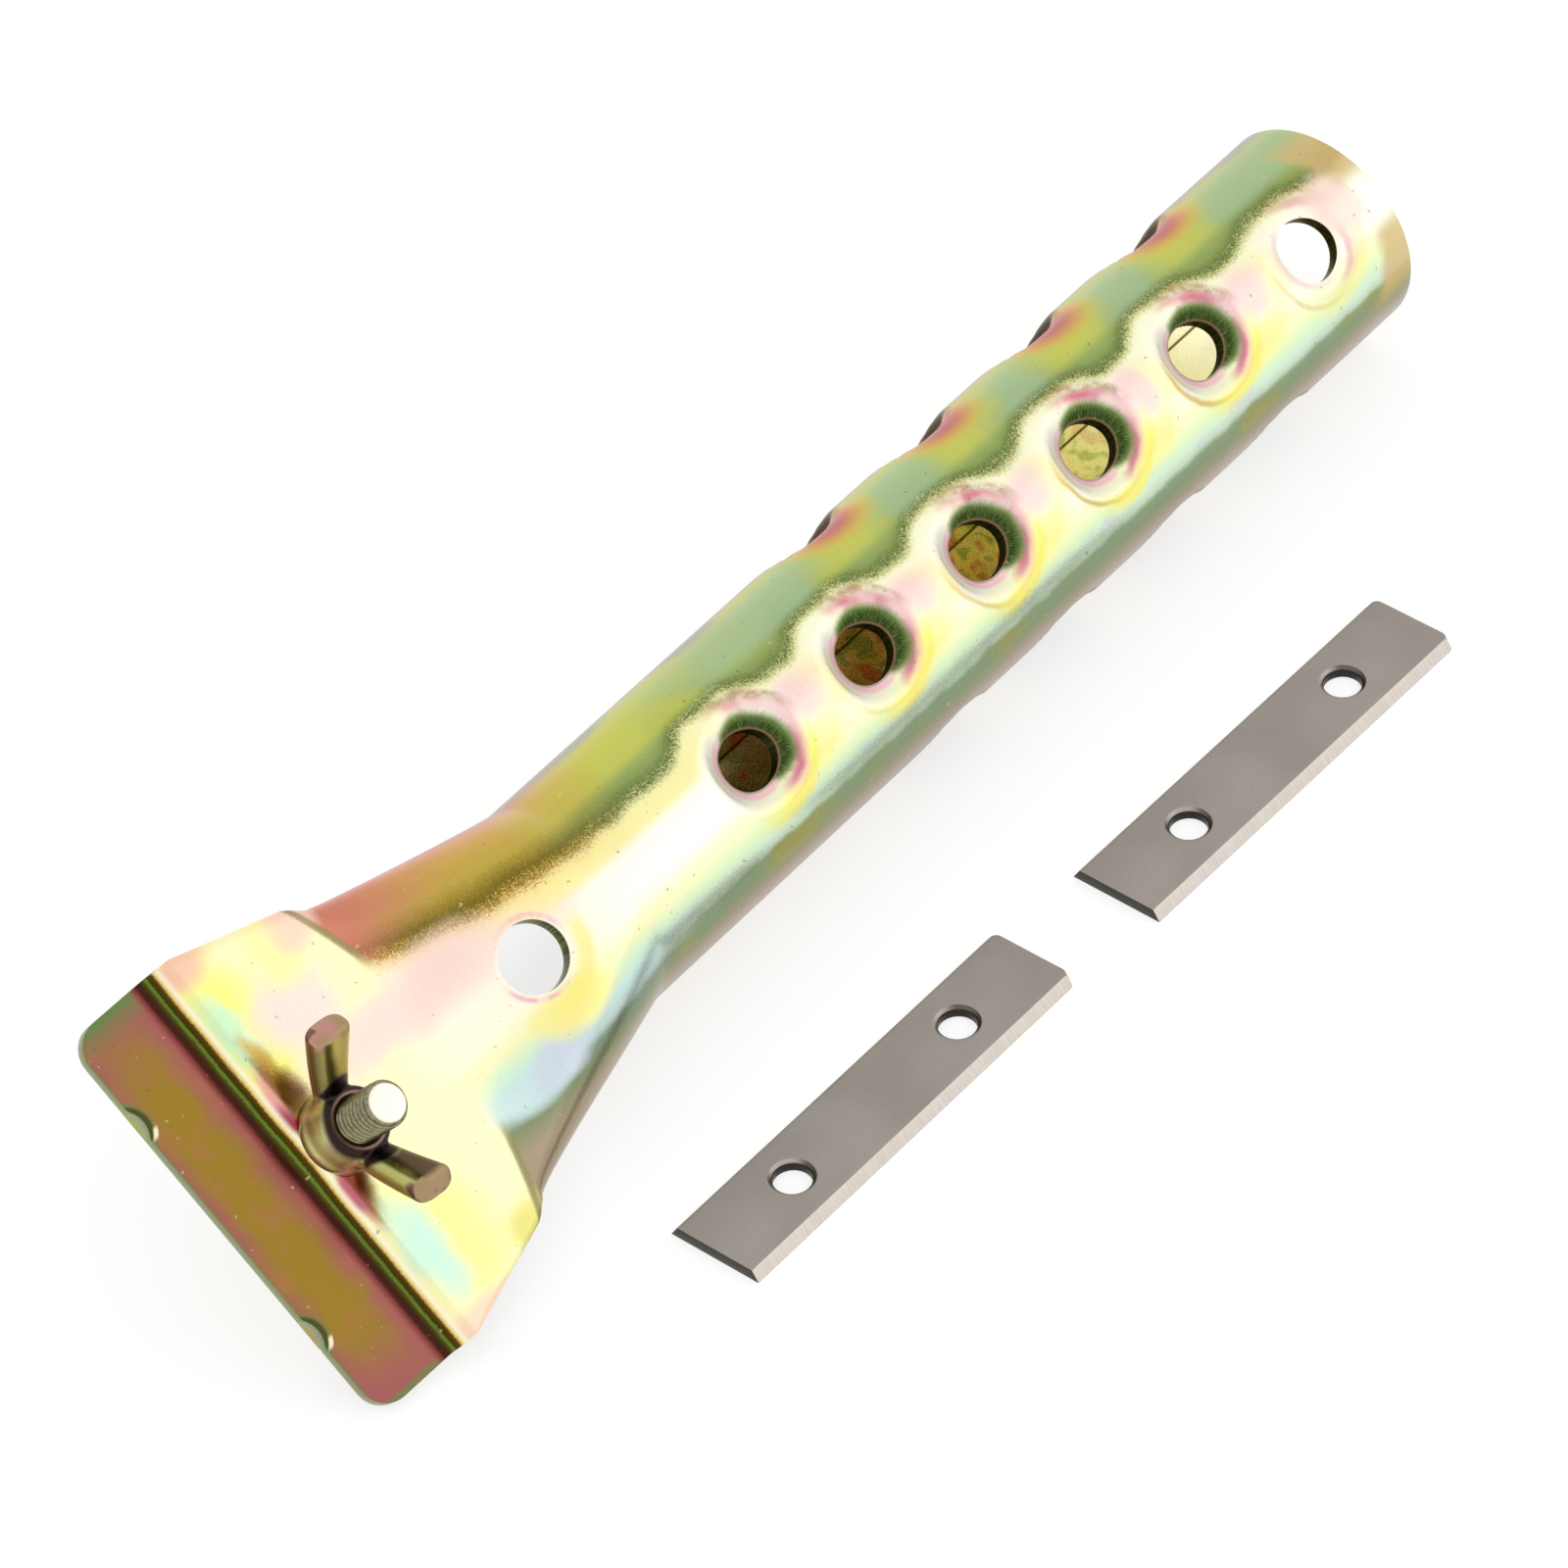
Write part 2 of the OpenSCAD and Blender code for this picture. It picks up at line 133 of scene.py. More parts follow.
WING_ROOT = (2.95, 0, 2.2)
WING_TIP = (9.2, 0, 9.75)
WING_SAG = (0.12, 0, -0.16)
WING_WIDTHS = (3.3, 4.8)
WING_THICKS = (3.0, 2.95)
WING_WIDTH_POWER = 0.7
WING_SQUARENESS = 0.9
WING_EVEN = 0.92
WING_ROOT_R = 3.15
WING_ENDS = ((0.95, 0.95), (0.975, 0.84), (0.993, 0.64), (1.0, 0.42))

# The two knives, each at its x, y and turn in degrees
BLADE_LEN = 50.0
BLADE_W = 11.0
BLADE_T = 1.3
BLADE_CORNER_R = 0.8
BEVEL_W = 0.8
BORE_R = 2.0
SINK_R = 2.4
KNIFE_REACH = 3.6
KNIFE_ROWS = 100
KNIFE_COLS = 20
TOUCH = 0.01
BLADES = {"blade_front": (33.7, 59.9, 0.9), "blade_rear": (36.3, 121.8, 1.3)}

PANEL_END_Z = FRONT_Z + PANEL_LEN * tan(TILT)
FOOT_Y = PANEL_LEN + FOOT_R * (sin(STEP_ANGLE) - sin(TILT))
FOOT_Z = PANEL_END_Z + FOOT_R * (cos(TILT) - cos(STEP_ANGLE))
PLATEAU_Z = PANEL_END_Z + STEP_RISE
CREST_Z = PLATEAU_Z - TOP_R * (1 - cos(STEP_ANGLE))
CREST_Y = FOOT_Y + (CREST_Z - FOOT_Z) / tan(STEP_ANGLE)
PLATEAU_Y = CREST_Y + TOP_R * sin(STEP_ANGLE)

# How the tool lies: rolled about its tube until the head's corner touches
CONTACT_Z = FRONT_Z + CORNER_R * tan(TILT) - SHEET_T * cos(TILT)
ROLL = asin(TUBE_R / hypot(HALF_HEAD, CONTACT_Z)) + atan(CONTACT_Z / HALF_HEAD)
REAR_TURN = radians(BLADES["blade_rear"][2])
X_LOW = -HALF_HEAD * cos(ROLL) + CONTACT_Z * sin(ROLL)
X_HIGH = BLADES["blade_rear"][0] + BLADE_W / 2 * cos(REAR_TURN) + BLADE_LEN / 2 * sin(REAR_TURN)
ORIGIN_X = (X_LOW + X_HIGH) / 2
ORIGIN_Y = TOOL_LEN / 2
LAY = Matrix.Translation((-ORIGIN_X * MM, -ORIGIN_Y * MM, TUBE_R * MM)) @ Matrix.Rotation(ROLL, 4, "Y")

# The photo's camera: a focal length in pixels of its square frame, a place on
# the surface that it looks at, in mm, and its distance from there, in metres
PHOTO_PIXELS = 1600
FOCAL_PIXELS = 8392.5
SENSOR_WIDTH = 36
LOOK_X = -2.08
LOOK_Y = 90.592
CAMERA_DISTANCE = 0.8434
ELEVATION = radians(44.048)
AZIMUTH = radians(48.815)
CAMERA_ROLL = radians(4.193)

# The floor, in mm, the light all round, and the key light, in metres and watts
FLOOR_HALF = 3000
FLOOR_Z = -0.02
FLOOR_GREY = 0.45
FLOOR_GLOW = 0.72
WORLD_GLOW = 0.7
KEY_SIZE = (0.5, 0.36)
KEY_POWER = 0.15
KEY_DIRECTION = (0.64, 0.56, 0.5)
KEY_DISTANCE = 0.6


# Camera
def add_camera():
    """The photograph's view: one perspective shot from the tool's right front."""
    above = Vector((0, 0, 1))
    level = Vector((sin(AZIMUTH), cos(AZIMUTH), 0))
    ahead = Vector((-cos(AZIMUTH), sin(AZIMUTH), 0))
    forward = cos(ELEVATION) * ahead - sin(ELEVATION) * above
    upward = sin(ELEVATION) * ahead + cos(ELEVATION) * above
    right = cos(CAMERA_ROLL) * level - sin(CAMERA_ROLL) * upward
    up = cos(CAMERA_ROLL) * upward + sin(CAMERA_ROLL) * level
    look = Vector((LOOK_X - ORIGIN_X, LOOK_Y - ORIGIN_Y, 0)) * MM
    rows = [(right[k], up[k], -forward[k], look[k] - forward[k] * CAMERA_DISTANCE) for k in range(3)]
    data = bpy.data.cameras.new("camera")
    data.sensor_width = SENSOR_WIDTH
    data.lens = SENSOR_WIDTH * FOCAL_PIXELS / PHOTO_PIXELS
    camera = bpy.data.objects.new("camera", data)
    camera.matrix_world = Matrix(rows + [(0, 0, 0, 1)])
    bpy.context.scene.collection.objects.link(camera)
    bpy.context.scene.camera = camera


# Mesh helpers
def add_mesh(name, verts, faces, matrix=LAY):
    """A smooth-shaded mesh object from points in mm, placed by the matrix."""
    mesh = bpy.data.meshes.new(name)
    mesh.from_pydata([matrix @ (Vector(v) * MM) for v in verts], [], faces)
    mesh.validate()
    bm = bmesh.new()
    bm.from_mesh(mesh)
    bmesh.ops.recalc_face_normals(bm, faces=bm.faces)
    bm.to_mesh(mesh)
    bm.free()
    mesh.polygons.foreach_set("use_smooth", [True] * len(mesh.polygons))
    obj = bpy.data.objects.new(name, mesh)
    bpy.context.scene.collection.objects.link(obj)
    return obj


def add_marks(obj, name, values):
    """Stores a vector for each point, which the materials read by its name."""
    marks = obj.data.attributes.new(name, "FLOAT_VECTOR", "POINT")
    marks.data.foreach_set("vector", [c for v in values for c in v])


def bevel(obj, width, segments=3, angle=40):
    """Rounds the sharp edges of a piece, with the width in mm."""
    mod = obj.modifiers.new("bevel", "BEVEL")
    mod.width = width * MM
    mod.segments = segments
    mod.limit_method = "ANGLE"
    mod.angle_limit = radians(angle)
    mod.harden_normals = False
    return obj


def punched_grid(rows, cols, width_at, holes, rings, bore=None):
    """A grid of quads over (arc, y) in which each hole is a ring patch.

    rows are y values, cols are shares of the half width that width_at(y) gives,
    and each hole is (arc, y, radius, reach either side). A bore radius adds one
    more ring inside each hole. Returns the points in (arc, y) and the quads."""
    n_cols = len(cols)
    points = [(c * width_at(y), y) for y in rows for c in cols]
    taken, quads = set(), []
    for arc, y, radius, reach in holes:
        half = width_at(y)
        low_i = max(i for i in range(len(rows)) if rows[i] <= y - reach)
        high_i = min(i for i in range(len(rows)) if rows[i] >= y + reach)
        low_j = max(j for j in range(n_cols) if cols[j] * half <= arc - reach)
        high_j = min(j for j in range(n_cols) if cols[j] * half >= arc + reach)
        taken |= {(i, j) for i in range(low_i, high_i) for j in range(low_j, high_j)}
        loop = [low_i * n_cols + j for j in range(low_j, high_j)]
        loop += [i * n_cols + high_j for i in range(low_i, high_i)]
        loop += [high_i * n_cols + j for j in range(high_j, low_j, -1)]
        loop += [i * n_cols + low_j for i in range(high_i, low_i, -1)]
        before = loop
        steps = [(share, radius) for share in rings]
        for share, edge in steps + ([(0.0, bore)] if bore else []):
            ring = []
            for k in loop:
                a = atan2(points[k][1] - y, points[k][0] - arc)
                on_hole = (arc + edge * cos(a), y + edge * sin(a))
                ring.append(len(points))
                points.append(tuple(h + (p - h) * share for h, p in zip(on_hole, points[k])))
            for k in range(len(loop)):
                m = (k + 1) % len(loop)
                quads.append((before[k], before[m], ring[m], ring[k]))
            before = ring
    for i in range(len(rows) - 1):
        for j in range(n_cols - 1):
            if (i, j) not in taken:
                a = i * n_cols + j
                quads.append((a, a + 1, a + n_cols + 1, a + n_cols))
    return points, quads


def two_skins(top, bottom, quads):
    """Closes two matching skins into a solid along their open edges."""
    n = len(top)
    count = Counter()
    for q in quads:
        for a, b in zip(q, q[1:] + q[:1]):
            count[(min(a, b), max(a, b))] += 1
    faces = list(quads) + [tuple(k + n for k in reversed(q)) for q in quads]
    for q in quads:
        for a, b in zip(q, q[1:] + q[:1]):
            if count[(min(a, b), max(a, b))] == 1:
                faces.append((b, a, a + n, b + n))
    return list(top) + list(bottom), faces


def used_only(points, quads):
    """Drops the grid points that a hole's patch left unused."""
    keep = sorted({k for q in quads for k in q})
    index = {k: n for n, k in enumerate(keep)}
    return [points[k] for k in keep], [tuple(index[k] for k in q) for q in quads]


def tube_faces(rings, segments, start=0):
    """Quads between rings of points that follow each other in a list."""
    faces = []
    for i in range(rings - 1):
        for k in range(segments):
            a = start + i * segments + k
            b = start + i * segments + (k + 1) % segments
            faces.append((a, b, b + segments, a + segments))
    return faces


def lathe(profile, segments):
    """Points and quads of a profile of (radius, height) turned about z."""
    turns = [2 * pi * k / segments for k in range(segments)]
    verts = [(r * cos(a), r * sin(a), z) for r, z in profile for a in turns]
    return verts, tube_faces(len(profile), segments)


# Handle
def ease(u):
    """A soft step from 0 to 1 while u goes from 0 to 1."""
    u = min(1.0, max(0.0, u))
    return u * u * (3 - 2 * u)


def line_z(y):
    """Height of the sheet's upper face on the centre line."""
    if y <= PANEL_LEN:
        return FRONT_Z + y * tan(TILT)
    if y <= FOOT_Y:
        a = asin(sin(TILT) + (y - PANEL_LEN) / FOOT_R)
        return PANEL_END_Z + FOOT_R * (cos(TILT) - cos(a))
    if y <= CREST_Y:
        return FOOT_Z + (y - FOOT_Y) * tan(STEP_ANGLE)
    if y <= PLATEAU_Y:
        a = asin(min(1.0, (PLATEAU_Y - y) / TOP_R))
        return PLATEAU_Z - TOP_R * (1 - cos(a))
    return PLATEAU_Z + (TUBE_R - PLATEAU_Z) * ease((y - NECK_Y) / (TUBE_Y - NECK_Y))


def half_width(y):
    """Half the handle's width at y, seen from above."""
    if y <= PLATEAU_Y:
        return HALF_HEAD
    if y <= SHOULDER_Y:
        return HALF_HEAD - (HALF_HEAD - SHOULDER_HALF) * (y - PLATEAU_Y) / (SHOULDER_Y - PLATEAU_Y)
    if y <= NECK_Y:
        return SHOULDER_HALF - (SHOULDER_HALF - NECK_HALF) * (y - SHOULDER_Y) / (NECK_Y - SHOULDER_Y)
    u = min(1.0, (y - NECK_Y) / (TUBE_Y - NECK_Y))
    return TUBE_R + (NECK_HALF - TUBE_R) * (1 - u) ** NECK_POWER


def edge_shape(y):
    """(radius, turn) of the sheet's rolled edge."""
    if y <= NECK_Y:
        return EDGE_R, radians(FRONT_TURN + (HEAD_TURN - FRONT_TURN) * ease((y - PANEL_LEN) / TURN_LEN))
    u = (y - NECK_Y) / (TUBE_Y - NECK_Y)
    if u < 1:
        turn = HEAD_TURN + (NECK_TURN - HEAD_TURN) * u**TURN_POWER
        return EDGE_R + (TUBE_R - EDGE_R) * u, radians(turn)
    v = min(1.0, (y - TUBE_Y) / SLOT_LEN)
    open_share = float(np.interp(v, [p[0] for p in SLOT_SIDE], [p[1] for p in SLOT_SIDE]))
    gap = SEAM_GAP / 2 + (TUBE_R / 2 - SEAM_GAP / 2) * open_share
    return TUBE_R, pi - asin(gap / TUBE_R)


def sheet_half(y):
    """Half the width of the flat blank at y."""
    r, turn = edge_shape(y)
    return half_width(y) - r * sin(min(turn, pi / 2)) + r * turn


def on_sheet(arc, y):
    """The point of the sheet's outer face at that distance round from the crown."""
    r, turn = edge_shape(y)
    flat = half_width(y) - r * sin(min(turn, pi / 2))
    pos = abs(arc)
    a = max(0.0, pos - flat) / r
    x = min(pos, flat) + r * sin(a)
    return np.array((x if arc >= 0 else -x, y, line_z(y) - r * (1 - cos(a))))


def normal_at(arc, y, step=0.05):
    """The direction straight out of the rolled sheet, before it is pressed."""
    across = on_sheet(arc + step, y) - on_sheet(arc - step, y)
    along = on_sheet(arc, min(y + step, TOOL_LEN)) - on_sheet(arc, y - step)
    n = np.cross(across, along)
    return n / np.linalg.norm(n)


def dish_depth(rho, hole_r, dish_r, depth):
    """Depth of a pressed dish: a round lip, then a wall that steepens to the hole."""
    if rho >= dish_r:
        return 0.0
    u = (dish_r - rho) / (dish_r - hole_r)
    return depth * (DISH_LIP_SHARE * u * u + (1 - DISH_LIP_SHARE) * ease(u))


def pressed_depth(arc, y, dishes):
    """How far the sheet is pressed in: its dishes, and the dip round the bolt."""
    depth = sum(dish_depth(hypot(arc - a, y - b), DISH_HOLE_R, DISH_R, DISH_DEPTH) for a, b in dishes)
    depth += dish_depth(hypot(arc, y - HANG_Y), HANG_R, HANG_DISH_R, HANG_DISH_DEPTH)
    return depth + BOLT_DIP * (1 - ease(hypot(arc, y - BOLT_Y) / BOLT_DIP_R))


def front_point(x, y):
    """Where a point of the blank goes: its first rows follow the rounded, notched front."""
    if y >= FRONT_DEPTH:
        return x, y
    t = y / FRONT_DEPTH
    s = x / HALF_HEAD
    side = 1 if s > 0 else -1
    straight, bent = 0.9, 0.1
    corner = CORNER_R * (1 - sqrt(0.5))
    if abs(s) <= straight:
        front = (s / straight * (HALF_HEAD - CORNER_R), 0.0)
    else:
        a = (abs(s) - straight) / bent * pi / 4
        front = ((HALF_HEAD - CORNER_R + CORNER_R * sin(a)) * side, CORNER_R * (1 - cos(a)))
    side_y = corner + (FRONT_DEPTH - corner) * t
    side_x = HALF_HEAD
    if side_y < CORNER_R:
        side_x = HALF_HEAD - CORNER_R + sqrt(CORNER_R**2 - (CORNER_R - side_y) ** 2)
    end_x = (HALF_HEAD - corner) * (1 - t) + HALF_HEAD * t
    end_y = corner * (1 - t) + FRONT_DEPTH * t
    # The columns near the side follow the rest of the corner
    near = abs(s) ** 6
    px = front[0] * (1 - t) + s * HALF_HEAD * t + near * (side_x * side - end_x * side)
    py = front[1] * (1 - t) + FRONT_DEPTH * t + near * (side_y - end_y)
    off = abs(abs(px) - PIN_X)
    if off < NOTCH_R:
        rise = max(0.0, NOTCH_DEPTH - NOTCH_R + sqrt(NOTCH_R**2 - off**2))
        py += rise * (1 - t) ** 2
    return px, py


def spread(low, high, count):
    """Evenly spaced values from low on, without high."""
    return [low + (high - low) * k / count for k in range(count)]


def handle_rows():
    """Where the grid's rows lie along the handle, closer together in its bends."""
    rows = spread(0, FRONT_DEPTH, 7) + spread(FRONT_DEPTH, PANEL_LEN, 8)
    rows += [PANEL_LEN + FOOT_R * (sin(a) - sin(TILT)) for a in spread(TILT, STEP_ANGLE, 6)]
    rows += [FOOT_Y, (FOOT_Y + CREST_Y) / 2]
    rows += [PLATEAU_Y - TOP_R * sin(STEP_ANGLE * (1 - k / 9)) for k in range(9)]
    rows += spread(PLATEAU_Y, NECK_Y, 22) + spread(NECK_Y, TUBE_Y, 38)
    # Round the tube, a row passes through the middle of each hole
    step = HOLE_PITCH / 24
    first = HANG_Y - ceil((HANG_Y - TUBE_Y) / step - 0.5) * step
    rows += [first + step * k for k in range(int((TOOL_LEN - first) / step) + 1)]
    rows[-1] = TOOL_LEN
    return rows


def handle_holes():
    """The dished holes as (arc, y), and all the holes as punched_grid takes them."""
    crown = [(0.0, HANG_Y - k * HOLE_PITCH) for k in range(1, 6)]
    flank_rows = [HANG_Y - (k - 0.5) * HOLE_PITCH for k in range(1, 5)]
    flanks = [(side * TUBE_R * FLANK, y) for y in flank_rows for side in (-1, 1)]
    dishes = crown + flanks
    holes = [(a, y, DISH_HOLE_R, DISH_REACH) for a, y in dishes]
    holes += [
        (0.0, HANG_Y, HANG_R, 6.6),
        (0.0, NECK_HOLE_Y, NECK_HOLE_R, 5.6),
        (0.0, BOLT_Y, BOLT_HOLE_R, 3.6),
    ]
    return dishes, holes


def wall_normals(outer, outward, quads):
    """The pressed surface's own normals, which its inner skin is offset along."""
    normals = np.zeros((len(outer), 3))
    for q in quads:
        n = np.cross(outer[q[2]] - outer[q[0]], outer[q[3]] - outer[q[1]])
        for k in q:
            normals[k] += n
    normals /= np.linalg.norm(normals, axis=1)[:, None]
    return normals * np.sign((normals * outward).sum(1))[:, None]


def straighten_holes(normals, holes, blank):
    """Turns the normals at each hole to its axis, because it is punched straight."""
    for arc, y, radius, _ in holes:
        axis = normal_at(arc, y) if arc else np.array((0.0, 0.0, 1.0))
        for k, (a, b) in enumerate(blank):
            rho = hypot(a - arc, b - y)
            if rho < radius + PUNCH_MARGIN:
                share = ease(radius + PUNCH_MARGIN - rho)
                normals[k] = normals[k] * (1 - share) + axis * share
                normals[k] /= np.linalg.norm(normals[k])


def build_handle():
    """The one sheet: a punched blank, pressed, rolled and given its thickness."""
    dishes, holes = handle_holes()
    cols = [2 * j / SHEET_CELLS - 1 for j in range(SHEET_CELLS + 1)]
    points, quads = punched_grid(handle_rows(), cols, sheet_half, holes, SHEET_RINGS)
    blank, quads = used_only(points, quads)
    points = [front_point(x, y) for x, y in blank]
    outward = [normal_at(a, y) for a, y in points]
    outer = [on_sheet(a, y) - pressed_depth(a, y, dishes) * n for (a, y), n in zip(points, outward)]
    outer = np.array(outer)
    normals = wall_normals(outer, np.array(outward), quads)
    straighten_holes(normals, holes, blank)
    inner = outer - SHEET_T * normals
    verts, faces = two_skins([tuple(p) for p in outer], [tuple(p) for p in inner], quads)
    obj = add_mesh("handle_sheet", verts, faces)
    add_marks(obj, "sheet", [(a, y, side) for side in (1, -1) for a, y in points])
    return bevel(obj, width=0.17)


# Clamp
def build_bolt():
    """The thread as a real helix, from inside the sheet's hole to the bolt's tip."""
    top, base = PLATEAU_Z + THREAD_TOP, PLATEAU_Z + THREAD_BASE
    segments, per_turn = 48, 10
    count = int((top - base) / PITCH * per_turn)
    verts = []
    for i in range(count + 1):
        z = base + (top - base) * i / count
        for k in range(segments):
            phase = (z / PITCH - k / segments) % 1.0
            groove = max(0.0, 1 - abs(phase - 0.5) / GROOVE_HALF)
            r = min(BOLT_R - THREAD_DEPTH * groove, BOLT_R - TIP_CHAMFER + (top - z))
            a = 2 * pi * k / segments
            verts.append((r * cos(a), r * sin(a) + BOLT_Y, z))
    # The tip closes over two smaller rings
    rim = verts[-segments:]
    for share, rise in ((0.86, -0.05), (0.7, 0.0)):
        verts += [(share * x, share * (y - BOLT_Y) + BOLT_Y, z + rise) for x, y, z in rim]
    faces = tube_faces(count + 1, segments)
    faces.append(tuple(range(segments))[::-1])
    faces += tube_faces(3, segments, count * segments)
    faces.append(tuple(len(verts) - segments + k for k in range(segments)))
    return add_mesh("bolt_thread", verts, faces)


def node_low(node):
    """The node's lowest height along the tool's own z axis, in mm."""
    inverse = LAY.inverted()
    return min((inverse @ v.co).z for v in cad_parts[node].data.vertices) / MM


def build_bolt_head():
    """The bolt's domed head, under the clamp plate."""
    low = node_low("clamp_bolt")
    rim = low + BOLT_HEAD_H
    dome = (BOLT_HEAD_R**2 + BOLT_HEAD_H**2) / (2 * BOLT_HEAD_H)
    profile = [(AXIS_R, low)]
    for k in range(1, 13):
        a = asin(BOLT_HEAD_R / dome) * k / 12
        profile.append((dome * sin(a), low + dome * (1 - cos(a))))
    edge = 0.12
    profile += [(BOLT_HEAD_R - edge, rim), (AXIS_R, rim)]
    verts, faces = lathe(profile, 64)
    return add_mesh("bolt_head", [(x, y + BOLT_Y, z) for x, y, z in verts], faces)


def build_bolt_neck():
    """The bolt's square neck, from inside its head up into the clamp plate."""
    half, sunk, rise = BOLT_NECK / 2, 0.6, 1.7
    rim = node_low("clamp_bolt") + BOLT_HEAD_H
    square = ((-half, -half), (half, -half), (half, half), (-half, half))
    corners = [(x, y + BOLT_Y, z) for z in (rim - sunk, rim + rise) for x, y in square]
    sides = [(0, 1, 2, 3), (4, 5, 6, 7), (0, 1, 5, 4), (1, 2, 6, 5), (2, 3, 7, 6), (3, 0, 4, 7)]
    return bevel(add_mesh("bolt_neck", corners, sides), width=0.25)


def squared(value, power):
    """Bends a sine or cosine towards the side of a rounded rectangle."""
    return abs(value) ** power * (1 if value > 0 else -1)


def wing_ring(u, size, side, count):
    """The points round one wing at share u of the way from its root to its tip."""
    root, tip, sag = np.array(WING_ROOT), np.array(WING_TIP), np.array(WING_SAG)
    middle = root + (tip - root) * u + sag * sin(pi * u)
    tangent = (tip - root) + sag * pi * cos(pi * u)
    tangent /= np.linalg.norm(tangent)
    thick = np.cross(tangent, (0, 1, 0)) * size
    half_w = (WING_WIDTHS[0] + (WING_WIDTHS[1] - WING_WIDTHS[0]) * u**WING_WIDTH_POWER) / 2 * size
    half_t = (WING_THICKS[0] + (WING_THICKS[1] - WING_THICKS[0]) * u) / 2
    power = 2 / (2 + WING_SQUARENESS * u)
    ring = []
    for k in range(count):
        a = 2 * pi * k / count
        p = middle + thick * half_t * squared(cos(a), power)
        p = p + np.array((0, 1, 0)) * half_w * squared(sin(a), power)
        # The root ends inside the hub's wall, clear of the bore
        x = max(p[0], sqrt(WING_ROOT_R**2 - p[1] ** 2))
        ring.append((side * x, p[1], p[2]))
    return ring


def build_wing_nut():
    """Base flange, hub and two wings, blended into one forged form."""
    bore = [(NUT_BORE_R + 0.13, 4.65), (NUT_BORE_R, 4.5), (NUT_BORE_R, 0)]
    verts, faces = lathe([(NUT_BORE_R, 0), *NUT_PROFILE, *bore], 72)
    sections = [(k / 8 * WING_EVEN, 1.0) for k in range(9)] + list(WING_ENDS)
    count = 32
    for side in (-1, 1):
        start = len(verts)
        for u, size in sections:
            verts += wing_ring(u, size, side, count)
        faces += tube_faces(len(sections), count, start)
        faces.append(tuple(start + k for k in range(count)))
        faces.append(tuple(len(verts) - count + k for k in range(count)))
    place = Matrix.Translation((0, BOLT_Y * MM, (PLATEAU_Z + NUT_BASE) * MM))
    place = place @ Matrix.Rotation(NUT_TURN, 4, "Z")
    obj = add_mesh("wing_nut_forged", verts, faces, LAY @ place)
    remesh = obj.modifiers.new("remesh", "REMESH")
    remesh.mode = "VOXEL"
    remesh.voxel_size = 0.13 * MM
    remesh.use_smooth_shade = True
    smooth = obj.modifiers.new("smooth", "SMOOTH")
    smooth.factor = 0.5
    smooth.iterations = 14
    return obj


# Knives
def knife_side(y):
    """Half the width of a knife's upper face at y, rounded in at its +y end."""
    half = BLADE_W / 2 - BEVEL_W
    past = min(BLADE_CORNER_R, max(0.0, y - BLADE_LEN / 2 + BLADE_CORNER_R))
    return half - BLADE_CORNER_R + sqrt(BLADE_CORNER_R**2 - past**2)


def knife_points(points):
    """Upper and lower points of a knife: countersunk above, wider and plain below."""
    top, bottom = [], []
    for x, y in points:
        near = PIN_X if y > 0 else -PIN_X
        rho = hypot(x, y - near)
        top.append((x, y, BLADE_T - max(0.0, SINK_R - rho)))
        if rho < SINK_R + TOUCH:
            share = (BORE_R + rho) / 2 / rho
            bottom.append((x * share, near + (y - near) * share, 0.0))
        elif abs(x) > knife_side(y) - TOUCH:
            bottom.append((x + copysign(BEVEL_W, x), y, 0.0))
        else:
            bottom.append((x, y, 0.0))
    return top, bottom


def build_blade(node):
    """One knife: two countersunk holes and a bevel ground along each long side."""
    x, y, turn = BLADES[node]
    half = BLADE_LEN / 2
    bend = [half - BLADE_CORNER_R * (1 - sin(radians(a))) for a in (15, 30, 45, 60, 75)]
    rows = sorted([-half + BLADE_LEN * k / KNIFE_ROWS for k in range(KNIFE_ROWS + 1)] + bend)
    cols = [2 * j / KNIFE_COLS - 1 for j in range(KNIFE_COLS + 1)]
    holes = [(0.0, side * PIN_X, SINK_R, KNIFE_REACH) for side in (-1, 1)]
    points, quads = punched_grid(rows, cols, knife_side, holes, (0.75, 0.5, 0.25, 0.0), BORE_R)
    points, quads = used_only(points, quads)
    verts, faces = two_skins(*knife_points(points), quads)
    place = Matrix.Translation(((x - ORIGIN_X) * MM, (y - ORIGIN_Y) * MM, 0))
    obj = add_mesh(node + "_ground", verts, faces, place @ Matrix.Rotation(-radians(turn), 4, "Z"))
    add_marks(obj, "ground", verts)
    return bevel(obj, width=0.09, segments=2, angle=25)


# Floor and light
def seen_directly(tree):
    """1 for rays from the camera or off gloss and glass, else 0."""
    path = tree.nodes.new("ShaderNodeLightPath")
    rays = [Num(tree, path.outputs["Is %s Ray" % kind]) for kind in ("Camera", "Glossy", "Transmission")]
    return rays[0].op("MAXIMUM", rays[1]).op("MAXIMUM", rays[2])


def build_floor():
    """A plain white floor that keeps the shadow."""
    corners = [(x * FLOOR_HALF, y * FLOOR_HALF, FLOOR_Z) for x, y in ((-1, -1), (1, -1), (1, 1), (-1, 1))]
    floor = add_mesh("floor", corners, [(0, 1, 2, 3)], Matrix.Identity(4))
    p = Paint("white_floor")
    p.shader.inputs["Base Color"].default_value = (FLOOR_GREY, FLOOR_GREY, FLOOR_GREY, 1)
    p.shader.inputs["Roughness"].default_value = 0.9
    p.shader.inputs["Emission Color"].default_value = (1, 1, 1, 1)
    plug(p.tree, seen_directly(p.tree) * FLOOR_GLOW, p.shader.inputs["Emission Strength"])
    floor.data.materials.append(p.material)


